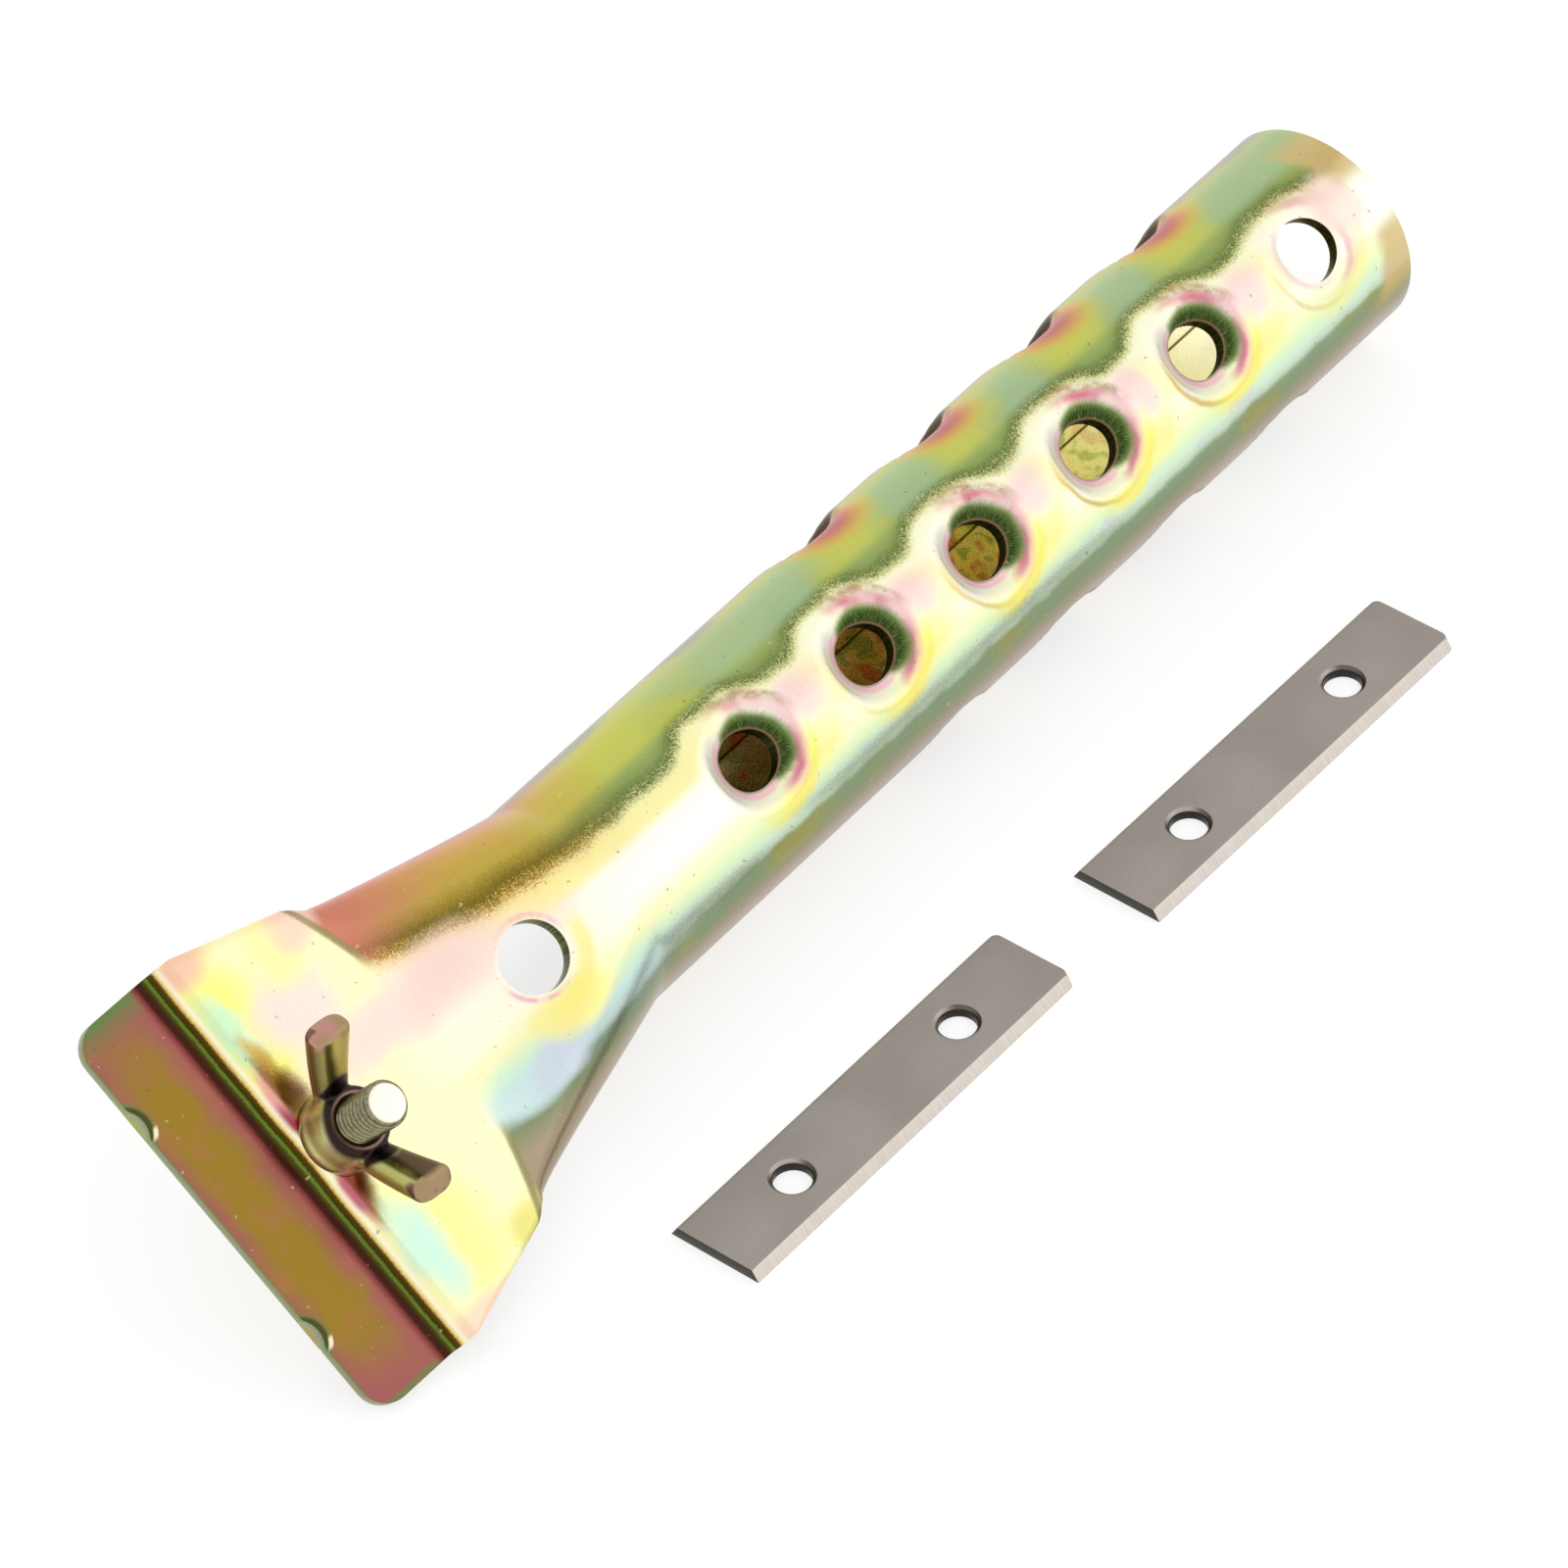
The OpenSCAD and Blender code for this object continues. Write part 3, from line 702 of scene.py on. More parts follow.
def build_world():
    """Plain soft light from all round, which gloss and the camera see as white."""
    world = bpy.data.worlds.new("world")
    bpy.context.scene.world = world
    world.use_nodes = True
    tree = world.node_tree
    back = tree.nodes["Background"]
    back.inputs["Color"].default_value = (1, 1, 1, 1)
    plug(tree, seen_directly(tree) * (1 - WORLD_GLOW) + WORLD_GLOW, back.inputs["Strength"])


def add_key_light():
    """One soft lamp, from the side of the loose knives and of the tube's open end."""
    key = bpy.data.lights.new("key", "AREA")
    key.shape = "RECTANGLE"
    key.size, key.size_y = KEY_SIZE
    key.energy = KEY_POWER
    lamp = bpy.data.objects.new("key", key)
    direction = Vector(KEY_DIRECTION).normalized()
    lamp.location = direction * KEY_DISTANCE
    lamp.rotation_euler = direction.to_track_quat("Z", "Y").to_euler()
    bpy.context.scene.collection.objects.link(lamp)


# Shader helpers
def linear(value):
    """One screen value from 0 to 255, made linear."""
    if value <= 10:
        return value / 255 / 12.92
    return ((value / 255 + 0.055) / 1.055) ** 2.4


def rgb(r, g, b):
    """A colour given as it looks on a screen, made linear."""
    return linear(r), linear(g), linear(b), 1.0


class Num:
    """A shader value that takes Python's arithmetic and adds the Math nodes."""

    def __init__(self, tree, socket):
        self.tree, self.socket = tree, socket

    def op(self, name, *others):
        """A Math node over this value and the others."""
        node = self.tree.nodes.new("ShaderNodeMath")
        node.operation = name
        for k, value in enumerate((self, *others)):
            plug(self.tree, value, node.inputs[k])
        return Num(self.tree, node.outputs[0])

    def __add__(self, other):
        return self.op("ADD", other)

    def __sub__(self, other):
        return self.op("SUBTRACT", other)

    def __mul__(self, other):
        return self.op("MULTIPLY", other)

    def __truediv__(self, other):
        return self.op("DIVIDE", other)

    def __pow__(self, other):
        return self.op("POWER", other)

    __radd__, __rmul__ = __add__, __mul__

    def __rsub__(self, other):
        return (self - other) * -1.0

    def abs(self):
        return self.op("ABSOLUTE")

    def smooth(self, low, high):
        """0 at low and 1 at high, with a soft start and end."""
        node = self.tree.nodes.new("ShaderNodeMapRange")
        node.interpolation_type = "SMOOTHSTEP"
        plug(self.tree, self, node.inputs["Value"])
        plug(self.tree, low, node.inputs["From Min"])
        plug(self.tree, high, node.inputs["From Max"])
        return Num(self.tree, node.outputs["Result"])

    def band(self, middle, half, soft):
        """1 within half of the middle, and down to 0 over soft more."""
        return (self - middle).abs().smooth(half + soft, half)


def plug(tree, value, socket):
    """Links a shader value to the socket, or sets a plain one."""
    if isinstance(value, Num):
        tree.links.new(value.socket, socket)
    else:
        socket.default_value = value


class Paint:
    """A material under construction: coordinates, noise, colour layers, surface."""

    def __init__(self, name):
        self.material = bpy.data.materials.new(name)
        self.material.use_nodes = True
        self.tree = self.material.node_tree
        self.shader = self.tree.nodes["Principled BSDF"]
        self.color = None

    def new(self, kind):
        return self.tree.nodes.new("ShaderNode" + kind)

    def coordinate(self, output):
        """One of Blender's own texture coordinates."""
        return self.new("TexCoord").outputs[output]

    def stored(self, attribute):
        """The vector that add_marks stored with the mesh."""
        node = self.new("Attribute")
        node.attribute_name = attribute
        return node.outputs["Vector"]

    def split(self, vector):
        node = self.new("SeparateXYZ")
        self.tree.links.new(vector, node.inputs[0])
        return [Num(self.tree, out) for out in node.outputs]

    def join(self, *values):
        node = self.new("CombineXYZ")
        for value, socket in zip(values, node.inputs):
            plug(self.tree, value, socket)
        return node.outputs[0]

    def noise(self, vector, scale, detail=2.0, rough=0.5):
        node = self.new("TexNoise")
        self.tree.links.new(vector, node.inputs["Vector"])
        node.inputs["Scale"].default_value = scale
        node.inputs["Detail"].default_value = detail
        node.inputs["Roughness"].default_value = rough
        return Num(self.tree, node.outputs[0])

    def ramp(self, value, stops):
        """A colour along value, from stops of (value, (r, g, b))."""
        low, high = stops[0][0], stops[-1][0]
        node = self.new("ValToRGB")
        elements = node.color_ramp.elements
        while len(elements) < len(stops):
            elements.new(0.5)
        for element, (at, color) in zip(elements, stops):
            element.position = (at - low) / (high - low)
            element.color = rgb(*color)
        plug(self.tree, (value - low) / (high - low), node.inputs[0])
        return node.outputs[0]

    def mix(self, first, second, share):
        """A colour between the first, at share 0, and the second, at 1."""
        node = self.new("Mix")
        node.data_type = "RGBA"
        node.clamp_factor = True
        plug(self.tree, share, node.inputs["Factor"])
        sockets = [x for x in node.inputs if x.type == "RGBA"]
        for value, socket in zip((first, second), sockets):
            if isinstance(value, tuple):
                socket.default_value = value
            else:
                self.tree.links.new(value, socket)
        return [x for x in node.outputs if x.type == "RGBA"][0]

    def layer(self, color, share):
        """Lays a colour, or a coloured socket, over what is painted so far."""
        color = rgb(*color) if isinstance(color, tuple) else color
        self.color = color if self.color is None else self.mix(self.color, color, share)

    def bump(self, height, distance, strength):
        node = self.new("Bump")
        node.inputs["Distance"].default_value = distance
        node.inputs["Strength"].default_value = strength
        plug(self.tree, height, node.inputs["Height"])
        self.tree.links.new(node.outputs[0], self.shader.inputs["Normal"])

    def finish(self, roughness, metallic=1.0):
        """Plugs the colour and the surface into the shader."""
        if isinstance(self.color, tuple):
            self.shader.inputs["Base Color"].default_value = self.color
        else:
            self.tree.links.new(self.color, self.shader.inputs["Base Color"])
        plug(self.tree, metallic, self.shader.inputs["Metallic"])
        plug(self.tree, roughness, self.shader.inputs["Roughness"])
        return self.material


# Materials
# Tints of the sheet, each as a place and the colour there. On the tube and the
# neck the place is the distance round from the crown, and else it is y
# Round the crown, from -4.8 to 4.7, the colour is a painted highlight, with a dark painted line at -5.4
# along its left edge
TUBE_TINTS_AND_HIGHLIGHT = (
    (-38, (150, 150, 90)), (-30, (178, 165, 95)), (-24, (185, 152, 110)), (-20, (150, 145, 128)),
    (-17, (158, 152, 130)), (-15, (190, 185, 85)), (-12, (185, 195, 85)), (-9.5, (170, 188, 110)),
    (-7, (144, 163, 94)), (-5.4, (102, 119, 60)), (-4.8, (206, 206, 140)), (-4.1, (253, 251, 212)),
    (-2, (255, 254, 232)), (2.5, (255, 254, 236)), (4.7, (253, 253, 204)), (6.2, (228, 246, 196)),
    (7.6, (214, 238, 212)), (8.7, (198, 216, 190)), (9.4, (138, 158, 122)), (11, (130, 148, 108)),
    (12.6, (150, 143, 112)), (14.5, (166, 146, 130)), (18, (160, 150, 115)), (24, (178, 152, 100)),
    (30, (150, 165, 95)), (38, (150, 150, 90)),
)
# Round the crown, from -4.4 to 5, the colour is a painted highlight, with a dark painted line at -6.2 along
# its left edge
NECK_TINTS_AND_HIGHLIGHT = (
    (-38, (165, 140, 95)), (-20, (170, 145, 110)), (-17.5, (188, 135, 115)), (-16, (203, 132, 110)),
    (-14.5, (212, 152, 92)), (-12, (206, 168, 82)), (-9, (192, 168, 74)), (-7.4, (156, 134, 54)),
    (-6.2, (116, 100, 38)), (-5.2, (172, 136, 62)), (-4.4, (244, 214, 150)), (-3.4, (252, 232, 206)),
    (-1.5, (254, 240, 226)), (0, (255, 250, 228)), (3, (254, 252, 225)), (5, (250, 246, 190)),
    (6.5, (215, 240, 205)), (8, (198, 228, 222)), (9.6, (190, 208, 205)), (10.5, (128, 148, 125)),
    (12, (135, 145, 108)), (14, (165, 150, 125)), (18, (160, 140, 115)), (38, (150, 145, 90)),
)
# Across the step, in y: painted shade down its wall, then a painted highlight on its crest
FOLD_SHADE_AND_HIGHLIGHT = (
    (7.6, (158, 86, 82)), (8.2, (140, 70, 62)), (8.6, (72, 36, 32)), (9.1, (66, 40, 24)),
    (9.4, (74, 72, 24)), (9.58, (112, 138, 56)), (9.7, (66, 60, 14)), (9.95, (90, 66, 18)),
    (10.12, (235, 205, 120)), (10.4, (255, 250, 222)), (11.2, (255, 246, 205)),
)
# The inner face, in y: painted darker towards the neck, as shade deep in the tube
INNER_TINTS_AND_SHADE = (
    (60, (126, 128, 84)), (80, (160, 162, 108)), (95, (202, 176, 112)), (113, (226, 190, 112)),
    (132, (240, 228, 140)), (150, (255, 253, 206)), (166, (254, 250, 210)), (182, (236, 228, 180)),
)
PLATEAU_TINTS = (
    # y, arc, reach along y, reach along the arc, colour
    (13.0, -13.0, 4.6, 9.0, (251, 244, 128)), (12.2, -13.0, 1.7, 5.0, (206, 240, 196)),
    (11.6, -21.5, 4.0, 2.2, (245, 198, 170)), (19.0, -12.0, 4.8, 4.8, (251, 222, 212)),
    (21.5, -17.5, 3.2, 3.2, (252, 242, 170)), (25.0, -18.6, 2.8, 3.0, (248, 212, 190)),
    # The six below, by the step round the nut's foot, are a painted shadow and a painted reflection of the
    # nut
    (12.5, -8.8, 1.0, 3.9, (214, 174, 84)), (13.3, -5.9, 1.6, 1.9, (132, 90, 28)),
    (11.3, -6.2, 0.9, 3.0, (240, 168, 160)), (11.2, -3.9, 1.2, 2.0, (168, 66, 88)),
    (12.4, 5.8, 1.5, 3.4, (104, 50, 32)), (11.3, 5.6, 0.8, 4.4, (198, 108, 124)),
    (16.0, 14.5, 5.6, 7.4, (252, 246, 156)), (13.2, 14.0, 2.5, 5.5, (202, 237, 216)),
    (14.0, 22.2, 6.0, 2.0, (249, 214, 188)), (24.0, 19.0, 3.0, 3.0, (226, 220, 130)),
    (27.5, -5.0, 12.0, 3.4, (250, 218, 206)), (33.0, 9.4, 5.0, 2.0, (204, 228, 226)),
    (37.0, 9.0, 4.0, 1.8, (208, 218, 228)), (42.0, 6.2, 5.0, 1.8, (252, 240, 150)),
)


class SheetPaint(Paint):
    """A paint that knows its place on the rolled sheet, and the noises that blur it."""

    def __init__(self, name):
        super().__init__(name)
        sheet = self.sheet = self.stored("sheet")
        arc, y, self.side = self.split(sheet)
        self.arc, self.y = arc, y
        self.broad, self.patch = self.noise(sheet, 0.075, 1.5), self.noise(sheet, 0.22, 2.0)
        self.fine, self.grit = self.noise(sheet, 3.0, 2.0), self.noise(sheet, 8.5, 1.0)
        self.blot = self.noise(sheet, 0.7, 2.0)

        # The crown's holes and the hanging hole, in pitches from the hanging hole
        pitches = (y - HANG_Y) / HOLE_PITCH
        dy = self.dy = ((pitches + 0.5).op("FRACT") - 0.5) * HOLE_PITCH
        rho = self.rho = (dy * dy + arc * arc) ** 0.5
        self.crown = pitches.op("GREATER_THAN", -5.5) * pitches.op("LESS_THAN", -0.5)
        self.hang = pitches.op("GREATER_THAN", -0.5)
        self.pressed = self.crown + self.hang * 0.5
        self.between = pitches.op("GREATER_THAN", -5.0) * pitches.op("LESS_THAN", 0.0)
        bristle = self.join(dy / rho * 42.0, arc / rho * 42.0, rho * 1.6)
        self.bristle = self.noise(bristle, 1.0, 3.0, 0.7)

        # The flanks' holes, midway between the crown's, and the neck's hole
        far_y = self.far_y = (pitches.op("FRACT") - 0.5) * HOLE_PITCH
        far_a = self.far_a = arc.abs() - TUBE_R * FLANK
        self.far_rho = (far_y * far_y + far_a * far_a) ** 0.5
        self.on_flank = pitches.op("GREATER_THAN", -4.0) * pitches.op("LESS_THAN", 0.0)
        # Painted shade on the far lip of each flank hole's dish
        self.lip = self.far_rho.smooth(6.6, 4.8) * far_a.smooth(-3.6, -1.6) * self.on_flank
        self.neck_y = y - NECK_HOLE_Y
        self.neck_rho = (self.neck_y * self.neck_y + arc * arc) ** 0.5

        # The tints, and the left edge of the painted highlight, shift round the crown's holes and spread as
        # the neck widens
        bulge = dy.smooth(-8.5, -3.0) * dy.smooth(8.0, 2.0) * self.pressed * 2.5
        spread_out = ((58.0 - y).op("MAXIMUM", 0.0) / 30.0) ** 2.2 * 5.4
        self.neck = (y + (self.broad - 0.5) * 14.0).smooth(64.0, 48.0)
        wobble = (self.patch - 0.5) * 1.3 + (self.fine - 0.5) * 1.3
        wobble = wobble + (self.grit - 0.5) * (self.neck * 1.3 + 0.7)
        left = arc.smooth(-1.0, -4.0)
        right = (self.patch - 0.5) * 1.2 * arc.smooth(4.0, 7.0)
        self.place = arc + (bulge + spread_out + wobble) * left + right


def tint_tube(p):
    """The tube's rainbow: tints that run along it, with green and gold on its left, and a painted highlight
    down the crown with a dark painted line at its left edge.
    """
    arc, y, patch, place = p.arc, p.y, p.patch, p.place
    p.layer(p.ramp(place, TUBE_TINTS_AND_HIGHLIGHT), 1.0)
    flank = arc.smooth(-7.5, -9.5) * arc.smooth(-17.5, -14.0)
    skewed = p.far_y + (arc + 12.0) * 0.45 + (patch - 0.5) * 9.0
    near_flank = p.on_flank * skewed.abs().smooth(8.5, 1.0)
    green = (y - arc * 0.6 + (patch - 0.5) * 16.0).smooth(74.0, 92.0) * (1.0 - near_flank)
    p.layer((166, 191, 150), flank * green * 0.75)
    p.layer((204, 204, 88), flank * (1.0 - green) * 0.7)
    p.layer((156, 152, 80), place.band(10.6, 0.9, 1.0) * p.broad.smooth(0.5, 0.62) * 0.9)
    p.layer((208, 208, 220), place.band(7.8, 0.4, 0.9) * patch.smooth(0.52, 0.66) * 0.6)


def tint_between(p):
    """Rosy and yellow spots on the crown, midway between its holes."""
    away_y, away_a = p.far_y + (p.patch - 0.5) * 4.0, p.arc + (p.broad - 0.5) * 5.0
    for color, y, arc, reach_y, reach_a in (
        ((253, 240, 176), 1.6, 0.0, 4.2, 3.8),
        ((250, 208, 212), -1.2, -0.9, 3.6, 3.4),
        ((253, 246, 150), -2.6, 3.9, 4.2, 2.4),
    ):
        off = ((away_y - y) / reach_y) ** 2 + ((away_a - arc) / reach_a) ** 2
        p.layer(color, off.smooth(1.4, 0.0) * p.between * 0.8)


def tint_neck(p):
    """The neck's own tints with their painted highlight and dark painted line, its rosy left side, and
    painted glints along the dark line.
    """
    place, neck, grit, patch = p.place, p.neck, p.grit, p.patch
    p.layer(p.ramp(place, NECK_TINTS_AND_HIGHLIGHT), neck)
    # Painted glints along the dark painted line at the highlight's edge
    painted_glint = place.band(-5.3, 0.2, 0.7) * grit.smooth(0.54, 0.63)
    p.layer((240, 238, 176), painted_glint * (1.0 - neck) * 0.6)
    p.layer((226, 192, 92), painted_glint * neck * 0.8)
    glow = p.y.band(58.0, 10.0, 12.0) * place.band(-3.2, 0.5, 1.3)
    p.layer((252, 240, 128), glow * 0.6)
    # Dark painted specks along the same painted line
    p.layer((84, 92, 36), place.band(-5.7, 0.3, 1.0) * grit.smooth(0.48, 0.38) * 0.5)
    rose = (p.y + (patch - 0.5) * 6.0).smooth(44.0, 30.0)
    rose = rose * (p.arc + (p.broad - 0.5) * 6.0).smooth(-8.5, -13.5)
    p.layer((208, 122, 112), rose * 0.85)


def tint_plateau(p):
    """The plateau, pale partly as a painted highlight, with its soft patches, a painted shadow and
    reflection of the nut, a dark painted line along its crease, and the step's fold with painted shade and a
    painted highlight.
    """
    arc, y, patch = p.arc, p.y, p.patch
    head = y + (patch - 0.5) * 0.12 + (p.fine - 0.5) * 0.15
    shoulder = 28.5 - ((arc.abs() - 9.0).op("MAXIMUM", 0.0) / 10.0) ** 1.3 * 3.2
    soft = (11.5 - arc.abs()).op("MAXIMUM", 0.0) * 0.55 + 0.6
    on_plateau = ((head - shoulder) / soft).smooth(1.0, -1.0)
    # The plateau's pale colour is partly its own zinc and partly a painted highlight
    p.layer((253, 246, 194), on_plateau)
    near_y, near_a = y + (patch - 0.5) * 3.5, arc + (p.broad - 0.5) * 6.0
    for y0, a0, reach_y, reach_a, tint in PLATEAU_TINTS:
        off = ((near_y - y0) / reach_y) ** 2 + ((near_a - a0) / reach_a) ** 2
        p.layer(tint, off.smooth(1.9, 0.0))
    # A dark painted line along the crease at the shoulders
    crease = (head - shoulder).band(0.1, 0.15, 0.5) * arc.abs().smooth(9.0, 12.5)
    p.layer((136, 132, 82), crease * 0.8)
    # The step's fold: painted shade on its wall and a painted highlight on its crest
    p.layer(p.ramp(head, FOLD_SHADE_AND_HIGHLIGHT), y.smooth(10.9, 10.2))


def tint_panel(p):
    """The front panel: rose and bronze, with green rims round its edge and notches, painted shade deep in
    each notch and a painted highlight at its outer end.
    """
    arc, y, patch = p.arc, p.y, p.patch
    middle = (y + (patch - 0.5) * 3.5 - 3.7).abs().smooth(4.6, 1.2)
    middle = middle * (arc.abs() + (p.broad - 0.5) * 12.0).smooth(25.0, 14.0)
    panel = p.mix(rgb(168, 96, 96), rgb(158, 128, 48), middle)
    panel = p.mix(panel, rgb(176, 116, 78), patch.smooth(0.5, 0.7) * 0.5)
    notch_x = arc.abs() - PIN_X
    notch = (notch_x * notch_x + (y + 1.4) ** 2) ** 0.5
    rim = y.smooth(0.5, 0.1) * 0.5 + arc.abs().smooth(22.2, 22.9)
    rim = rim + arc.smooth(-19.8, -22.4) * 0.8 + notch.smooth(3.1, 2.5)
    panel = p.mix(panel, rgb(112, 132, 78), rim * 0.8)
    # Painted shade deep in each notch
    panel = p.mix(panel, rgb(70, 78, 40), notch.smooth(2.75, 2.4) * 0.9)
    # A painted highlight at the outer end of each notch
    notch_glint = (notch_x * arc.op("SIGN") - 1.6).abs().smooth(0.7, 0.2) * notch.band(2.75, 0.1, 0.25)
    panel = p.mix(panel, rgb(250, 240, 200), notch_glint)
    p.layer(panel, (y + (p.fine - 0.5) * 0.2).smooth(8.2, 7.5))


def tint_crescents(p):
    """Thin crescents of colour round each pressed hole, on different sides of it."""
    arc, dy, rho, patch, fine = p.arc, p.dy, p.rho, p.patch, p.fine
    ragged = rho + (patch - 0.5) * 1.6 + (p.blot - 0.5) * 0.4
    broken = p.blot.smooth(0.36, 0.6)

    def facing(along, across, low, high):
        """High on the side of the hole that lies that way along and across the tube."""
        return ((dy * along + arc * across) / rho).smooth(low, high)

    for color, ring, side, share in (
        ((232, 226, 222), rho.band(4.9, 0.5, 0.9), facing(0.95, -0.3, 0.1, -0.3), 0.45),
        ((244, 190, 206), rho.band(4.1, 0.15, 0.4), facing(0.95, -0.3, 0.3, -0.3), 0.75),
        ((206, 180, 92), (rho + (patch - 0.5) * 1.4).band(6.3, 0.03, 0.5), facing(-1, 1, 0.5, 1.2),
         p.y.smooth(72.0, 125.0) * 0.85),
        ((160, 96, 54), ragged.band(6.8, 0.2, 0.9), facing(0.6, -0.8, 0.6, 1.0), fine * 0.5 + broken * 0.4),
        ((251, 238, 112), ragged.band(6.6, 0.4, 1.3), facing(0.5, 0.87, 0.3, 1.0), 0.85),
        ((240, 178, 192), ragged.band(5.7, 0.3, 0.8), dy.smooth(0.0, 4.0), 0.5),
        ((206, 108, 146), ragged.band(5.3, 0.05, 0.7), facing(0.78, 0.62, 0.7, 1.0), 0.85),
        ((216, 124, 142), ragged.band(5.9, 0.05, 0.9), facing(0.5, -0.87, 0.7, 1.0), patch.smooth(0.3, 0.6)),
    ):
        p.layer(color, ring * p.pressed * side * share)


def tint_dishes(p):
    """The dark, bristly shade inside each dish of the crown, deeper on one side."""
    rho, crown, bristle = p.rho, p.crown, p.bristle
    lit = ((p.dy * 0.95 - p.arc * 0.3) / rho).smooth(-0.4, 0.75)
    reach = lit * 1.6 + (bristle - 0.5) * 0.9 + (p.patch - 0.5) * 0.8 + 3.6
    shade = rho.smooth(reach + 0.5, reach - 0.4) * crown * lit.smooth(0.0, 0.5)
    p.layer((128, 150, 84), shade)
    p.layer((60, 80, 36), shade * rho.smooth(reach, reach - 0.9))
    p.layer((146, 170, 100), shade * bristle.smooth(0.53, 0.62) * 0.5)
    p.layer((34, 46, 22), shade * bristle.smooth(0.47, 0.4) * 0.45)
    p.layer((156, 112, 92), rho.smooth(3.9, 3.75) * crown * 0.6)


def tint_plain_holes(p):
    """A rosy spot beyond the hanging hole, and arcs of colour at the neck's hole."""
    arc, patch, neck_y, neck_rho = p.arc, p.patch, p.neck_y, p.neck_rho
    end_spot = ((p.dy - 6.6) / 4.2) ** 2 + ((arc + (patch - 0.5) * 4.0 + 1.6) / 5.0) ** 2
    p.layer((251, 216, 206), end_spot.smooth(1.2, 0.1) * p.hang * 0.8)
    ends = ((neck_y * 0.5 - arc * 0.85) / neck_rho).abs().smooth(0.4, 0.95)
    broken = p.blot.smooth(0.36, 0.6)
    p.layer((240, 172, 196), neck_rho.band(4.2, 0.05, 0.4) * ends * (broken * 0.5 + 0.3))
    far_side = ((neck_y + arc) / neck_rho).smooth(0.5, 1.3)
    p.layer((250, 240, 130), neck_rho.band(5.4, 0.3, 1.2) * far_side * 0.7)


def tint_flank_holes(p):
    """Gold, copper and rose above the left flank's holes, and painted brown shade on the lips of both
    flanks' holes.
    """
    off = ((p.far_y - 1.0) / 5.6) ** 2 + ((p.far_a + 5.6) / 4.4) ** 2
    rosy = p.on_flank * p.arc.smooth(2.0, -2.0)
    p.layer((212, 178, 88), off.smooth(1.5, 0.5) * rosy * 0.85)
    p.layer((206, 132, 92), off.smooth(0.9, 0.15) * rosy * 0.9)
    p.layer((188, 108, 112), off.smooth(0.45, 0.0) * rosy)
    # The painted shade on the flank holes' lips
    p.layer((84, 60, 30), p.lip)


def tint_inside(p):
    """Bare tan patches by the open end, and the sheet's inner face with its pools, painted darker towards
    the neck as shade.
    """
    arc, y = p.arc, p.y
    bare = (y + arc.abs() * 0.25 + (p.patch - 0.5) * 3.0).smooth(177.8, 180.0) * arc.band(0.0, 9.0, 4.0)
    p.layer((214, 182, 124), bare * (arc - 0.3).abs().smooth(2.0, 4.5) * 0.8)
    # Painted shade, deepening towards the neck
    inner = p.ramp(y, INNER_TINTS_AND_SHADE)
    pool = p.noise(p.sheet, 0.38, 1.5)
    inner = p.mix(inner, rgb(208, 96, 72), pool.smooth(0.53, 0.64) * y.smooth(162.0, 130.0) * 0.7)
    inner = p.mix(inner, rgb(128, 158, 70), pool.smooth(0.46, 0.36) * y.smooth(166.0, 136.0) * 0.7)
    inner = p.mix(inner, rgb(84, 70, 36), arc.abs().smooth(38.2, 38.35) * 0.9)
    p.layer(inner, p.side.smooth(0.0, -0.4))


def tint_cuts(p):
    """Light and dark scuffs on the outer face, then the cut edges, and the holes' walls painted dark as
    shade.
    """
    scuff, outside = p.noise(p.sheet, 1.1, 3.0), p.side.smooth(0.9, 0.98)
    p.layer((226, 206, 150), scuff.smooth(0.7, 0.74) * outside * 0.5)
    p.layer((104, 100, 62), scuff.smooth(0.3, 0.26) * outside * 0.5)
    cut = p.side.smooth(0.985, 0.9) * p.side.smooth(-0.985, -0.9)
    p.layer((132, 142, 92), cut)
    # Painted shade on the walls of the holes
    bore = p.rho.smooth(4.8, 4.6) * (p.crown + p.hang) + p.neck_rho.smooth(4.6, 4.4)
    bore = bore + p.far_rho.smooth(4.8, 4.6) * p.on_flank
    p.layer(p.mix(rgb(58, 50, 24), rgb(92, 104, 44), p.bristle.smooth(0.45, 0.6)), cut * bore)


def sheet_material():
    """Bright zinc with rainbow chromate, tinted by place on the rolled sheet, with painted highlights,
    glints and shade among the tints.
    """
    p = SheetPaint("rainbow_zinc")
    tint_tube(p)
    tint_between(p)
    tint_neck(p)
    tint_plateau(p)
    tint_panel(p)
    tint_crescents(p)
    tint_dishes(p)
    tint_plain_holes(p)
    tint_flank_holes(p)
    tint_inside(p)
    tint_cuts(p)
    p.bump(p.fine * 0.6 + p.blot * 0.8, 0.00005, 0.4)
    dull = p.rho.smooth(6.0, 4.6) * p.pressed * 0.3
    roughness = (p.fine - 0.5) * 0.12 + dull + p.lip * 0.5 + 0.27
    return p.finish(roughness, 1.0 - p.lip * 0.8)


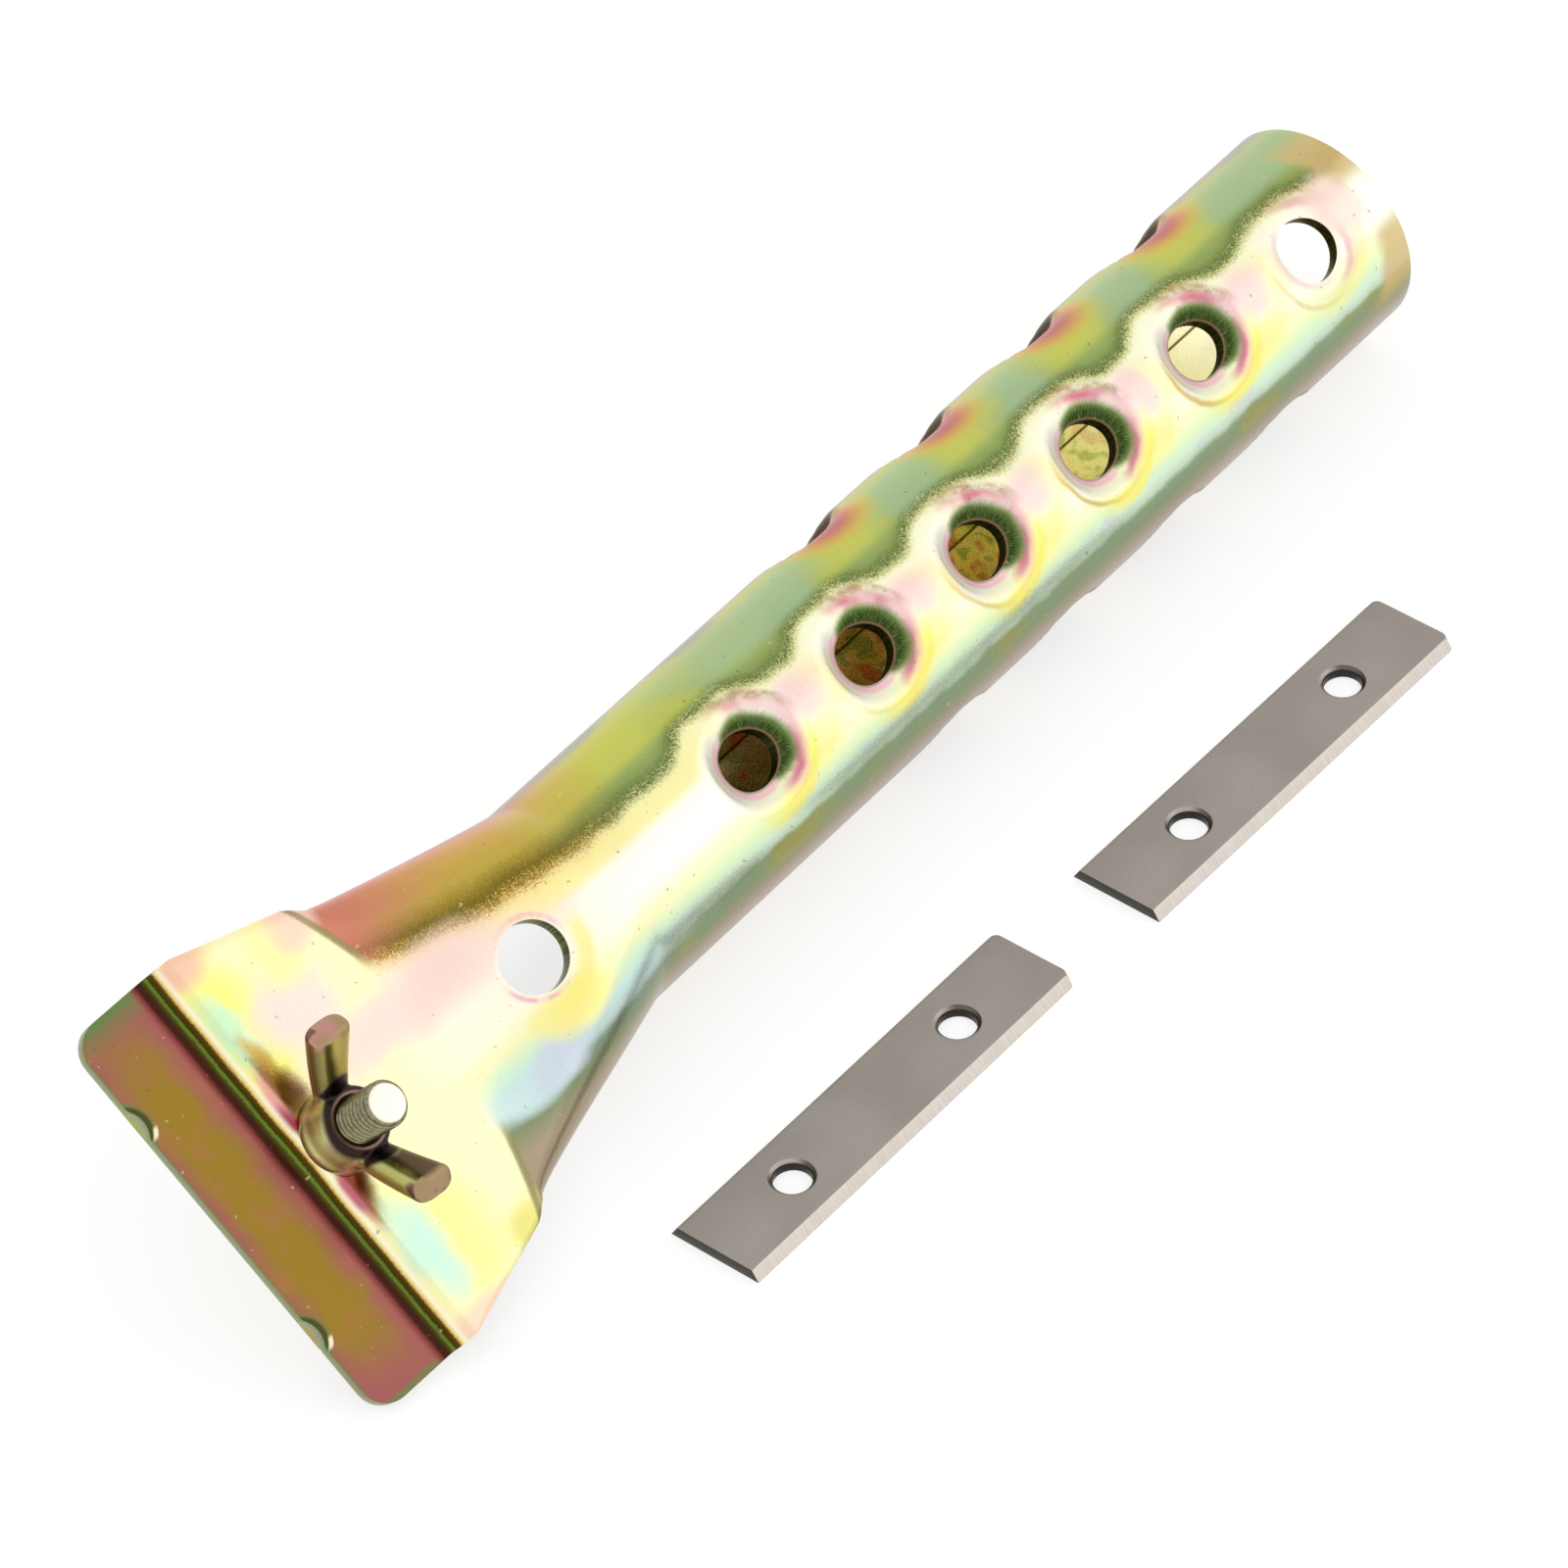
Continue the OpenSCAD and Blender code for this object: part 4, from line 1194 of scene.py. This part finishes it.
def knife_material(name):
    """Ground tool steel: satin face and bright bevels, with painted shade on the sheared ends, in the bores
    and in the countersinks, whose one side has a painted highlight.
    """
    p = Paint(name)
    ground = p.stored("ground")
    x, y, _ = p.split(ground)
    speck, drift = p.noise(ground, 4.0, 2.0), p.noise(ground, 0.09, 1.0)
    p.layer((155, 147, 140), 1.0)
    p.layer((168, 160, 153), drift.smooth(0.35, 0.7) * 0.7)
    p.layer((136, 129, 123), speck.smooth(0.6, 0.72) * 0.4)
    lines = p.noise(p.join(x * 0.5, y * 5.0, 0.0), 1.0, 4.0, 0.65)
    face_half = BLADE_W / 2 - BEVEL_W
    edge = x.abs().smooth(face_half - 0.03, face_half + 0.05)
    p.layer(p.mix(rgb(211, 202, 193), rgb(222, 214, 204), lines.smooth(0.35, 0.65)), edge)
    # The sheared ends, painted dark as shade
    p.layer((74, 71, 66), y.abs().smooth(BLADE_LEN / 2 - 0.05, BLADE_LEN / 2 - 0.01))
    rho = (x * x + (y.abs() - PIN_X) ** 2) ** 0.5
    # Painted shade in each countersink, with a painted highlight on one side of it
    sink_light_and_shade = rho.smooth(SINK_R + 0.1, SINK_R)
    p.layer((104, 98, 90), sink_light_and_shade)
    p.layer((176, 168, 158), sink_light_and_shade * ((x * -0.8 - (y.abs() - PIN_X) * 0.3) / rho).smooth(0.3, 0.8))
    # Painted shade in each bore
    p.layer((54, 51, 48), rho.smooth(BORE_R + 0.14, BORE_R + 0.04))
    p.bump(lines * edge * 0.2 + speck * 0.3, 0.00002, 0.5)
    return p.finish((speck - 0.5) * 0.15 + 0.38)


def fitting_paint(name):
    """A paint with the place in tool space, in mm from the bolt and the plateau."""
    p = Paint(name)
    x, y, z = p.split(p.coordinate("Object"))
    lift = sin(ROLL) * ORIGIN_X - cos(ROLL) * TUBE_R - PLATEAU_Z
    shift = cos(ROLL) * ORIGIN_X + sin(ROLL) * TUBE_R
    height = x * (sin(ROLL) / MM) + z * (cos(ROLL) / MM) + lift
    across = x * (cos(ROLL) / MM) - z * (sin(ROLL) / MM) + shift
    along = y / MM + (ORIGIN_Y - BOLT_Y)
    return p, across, along, height


def forged_material(name, dark, middle, light, roughness=0.26):
    """Small plated fittings: olive-bronze with green and rose tints."""
    p, across, along, height = fitting_paint(name)
    here = p.join(across, along, height)
    drift, patch, grit = p.noise(here, 0.12, 1.5), p.noise(here, 0.3, 1.5), p.noise(here, 3.6, 2.0)
    p.layer(middle, 1.0)
    p.layer(dark, drift.smooth(0.4, 0.75) * 0.6)
    p.layer(light, patch.smooth(0.4, 0.75) * 0.6)
    p.layer((150, 168, 92), drift.smooth(0.52, 0.25) * 0.7)
    p.bump(patch * 0.5 + grit * 0.5, 0.00006, 0.4)
    return p.finish((grit - 0.5) * 0.14 + roughness)


def nut_material(name):
    """Forged wing nut: pale olive foot, olive wings with rose ends, painted shade on the hub's top and on
    faces turned to -x, and painted light on faces turned to the front and to +x, with a painted highlight
    line.
    """
    p, across, along, height = fitting_paint(name)
    here = p.join(across, along, height)
    drift, patch, grit = p.noise(here, 0.16, 1.0), p.noise(here, 0.42, 1.5), p.noise(here, 4.0, 2.0)
    rho = (across * across + along * along) ** 0.5
    nx, ny, nz = p.split(p.coordinate("Normal"))
    up, aside = nx * sin(ROLL) + nz * cos(ROLL), nx * cos(ROLL) - nz * sin(ROLL)
    p.layer((148, 128, 86), 1.0)
    # Painted shade on faces turned to -x
    p.layer((78, 58, 36), (aside * -1.0 + up * 0.3 + (drift - 0.5)).smooth(0.2, 0.7) * 0.8)
    # Painted light on faces turned to the front, toned down on the wing at -x
    front = ny.smooth(-0.08, -0.38)
    p.layer((196, 200, 122), front)
    p.layer((128, 118, 76), front * (across + (patch - 0.5) * 4.0).smooth(0.0, -3.0) * 0.85)
    # A painted highlight line along faces turned a little to the front
    p.layer((222, 206, 116), ny.band(-0.16, 0.02, 0.14) * patch.smooth(0.35, 0.55))
    # Painted light on faces turned to +x
    p.layer((186, 168, 88), aside.smooth(0.4, 0.8) * 0.8)
    hub = rho.smooth(4.9, 4.3)
    p.layer((206, 208, 144), hub)
    p.layer((188, 150, 136), hub * patch.smooth(0.5, 0.62) * 0.5)
    # Painted shade on the hub's top, between the wings
    p.layer((54, 42, 40), hub * (height + (drift - 0.5) * 2.0).smooth(3.3, 4.1))
    p.layer((206, 168, 150), rho.smooth(3.1, 2.7) * height.band(4.75, 0.1, 0.2) * 0.5)
    ends = height.smooth(8.2, 8.9) * rho.smooth(7.4, 8.2)
    p.layer((168, 142, 106), ends)
    p.layer((196, 140, 132), ends * drift.smooth(0.42, 0.52) * height.smooth(8.9, 9.5))
    p.layer((110, 78, 74), ends * patch.smooth(0.56, 0.62) * 0.8)
    p.bump(patch, 0.0001, 0.4)
    return p.finish((grit - 0.5) * 0.1 + 0.33)


def bolt_material(name):
    """The bolt: grey-olive thread with painted shade in its grooves, and a painted highlight on its tip."""
    p, across, along, height = fitting_paint(name)
    here = p.join(across, along, height)
    rho = (across * across + along * along) ** 0.5
    grit = p.noise(here, 2.5, 2.0)
    p.layer((150, 145, 116), 1.0)
    p.layer((112, 108, 78), grit.smooth(0.45, 0.6) * 0.6)
    # Painted shade in the thread's grooves
    p.layer((72, 68, 44), rho.smooth(BOLT_R - 0.12, BOLT_R - 0.34) * height.smooth(10.6, 10.3))
    # A painted highlight on the tip
    p.layer((255, 250, 232), height.smooth(10.88, 11.0))
    p.bump(grit, 0.00005, 0.5)
    return p.finish((grit - 0.5) * 0.14 + 0.3)


def dress(obj, body, slot, *nodes):
    """Hides the CAD nodes that a piece stands in for, and attaches it to its body. The slot is not used."""
    if nodes:
        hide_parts(*nodes)
    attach(obj, body)
    return obj


def wear(material, *pieces):
    """Gives the pieces that material alone."""
    for piece in pieces:
        piece.data.materials.clear()
        piece.data.materials.append(material)


add_camera()
handle = dress(build_handle(), "handle", "plated_sheet", "handle")
thread = dress(build_bolt(), "clamp_jaw", "plated_bolt", "clamp_bolt")
head = dress(build_bolt_head(), "clamp_jaw", "plated_bolt")
neck = dress(build_bolt_neck(), "clamp_jaw", "plated_bolt")
nut = dress(build_wing_nut(), "wing_nut", "plated_nut", "wing_nut")
front = dress(build_blade("blade_front"), "front_knife", "tool_steel", "blade_front")
rear = dress(build_blade("blade_rear"), "rear_knife", "tool_steel", "blade_rear")
build_floor()
build_world()
bpy.context.scene.view_settings.view_transform = "Standard"

plate, *pins = [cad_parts[name] for name in ("clamp_plate", "pin_left", "pin_right")]
bevel(plate, width=0.12)
wear(sheet_material(), handle)
wear(bolt_material("olive_bolt"), thread, head, neck)
wear(nut_material("olive_nut"), nut)
wear(forged_material("plated_heel", (120, 104, 52), (176, 166, 96), (206, 160, 140)), plate)
wear(forged_material("pin_steel", (120, 114, 96), (176, 170, 150), (206, 196, 176)), *pins)
wear(knife_material("ground_steel"), front, rear)
add_key_light()
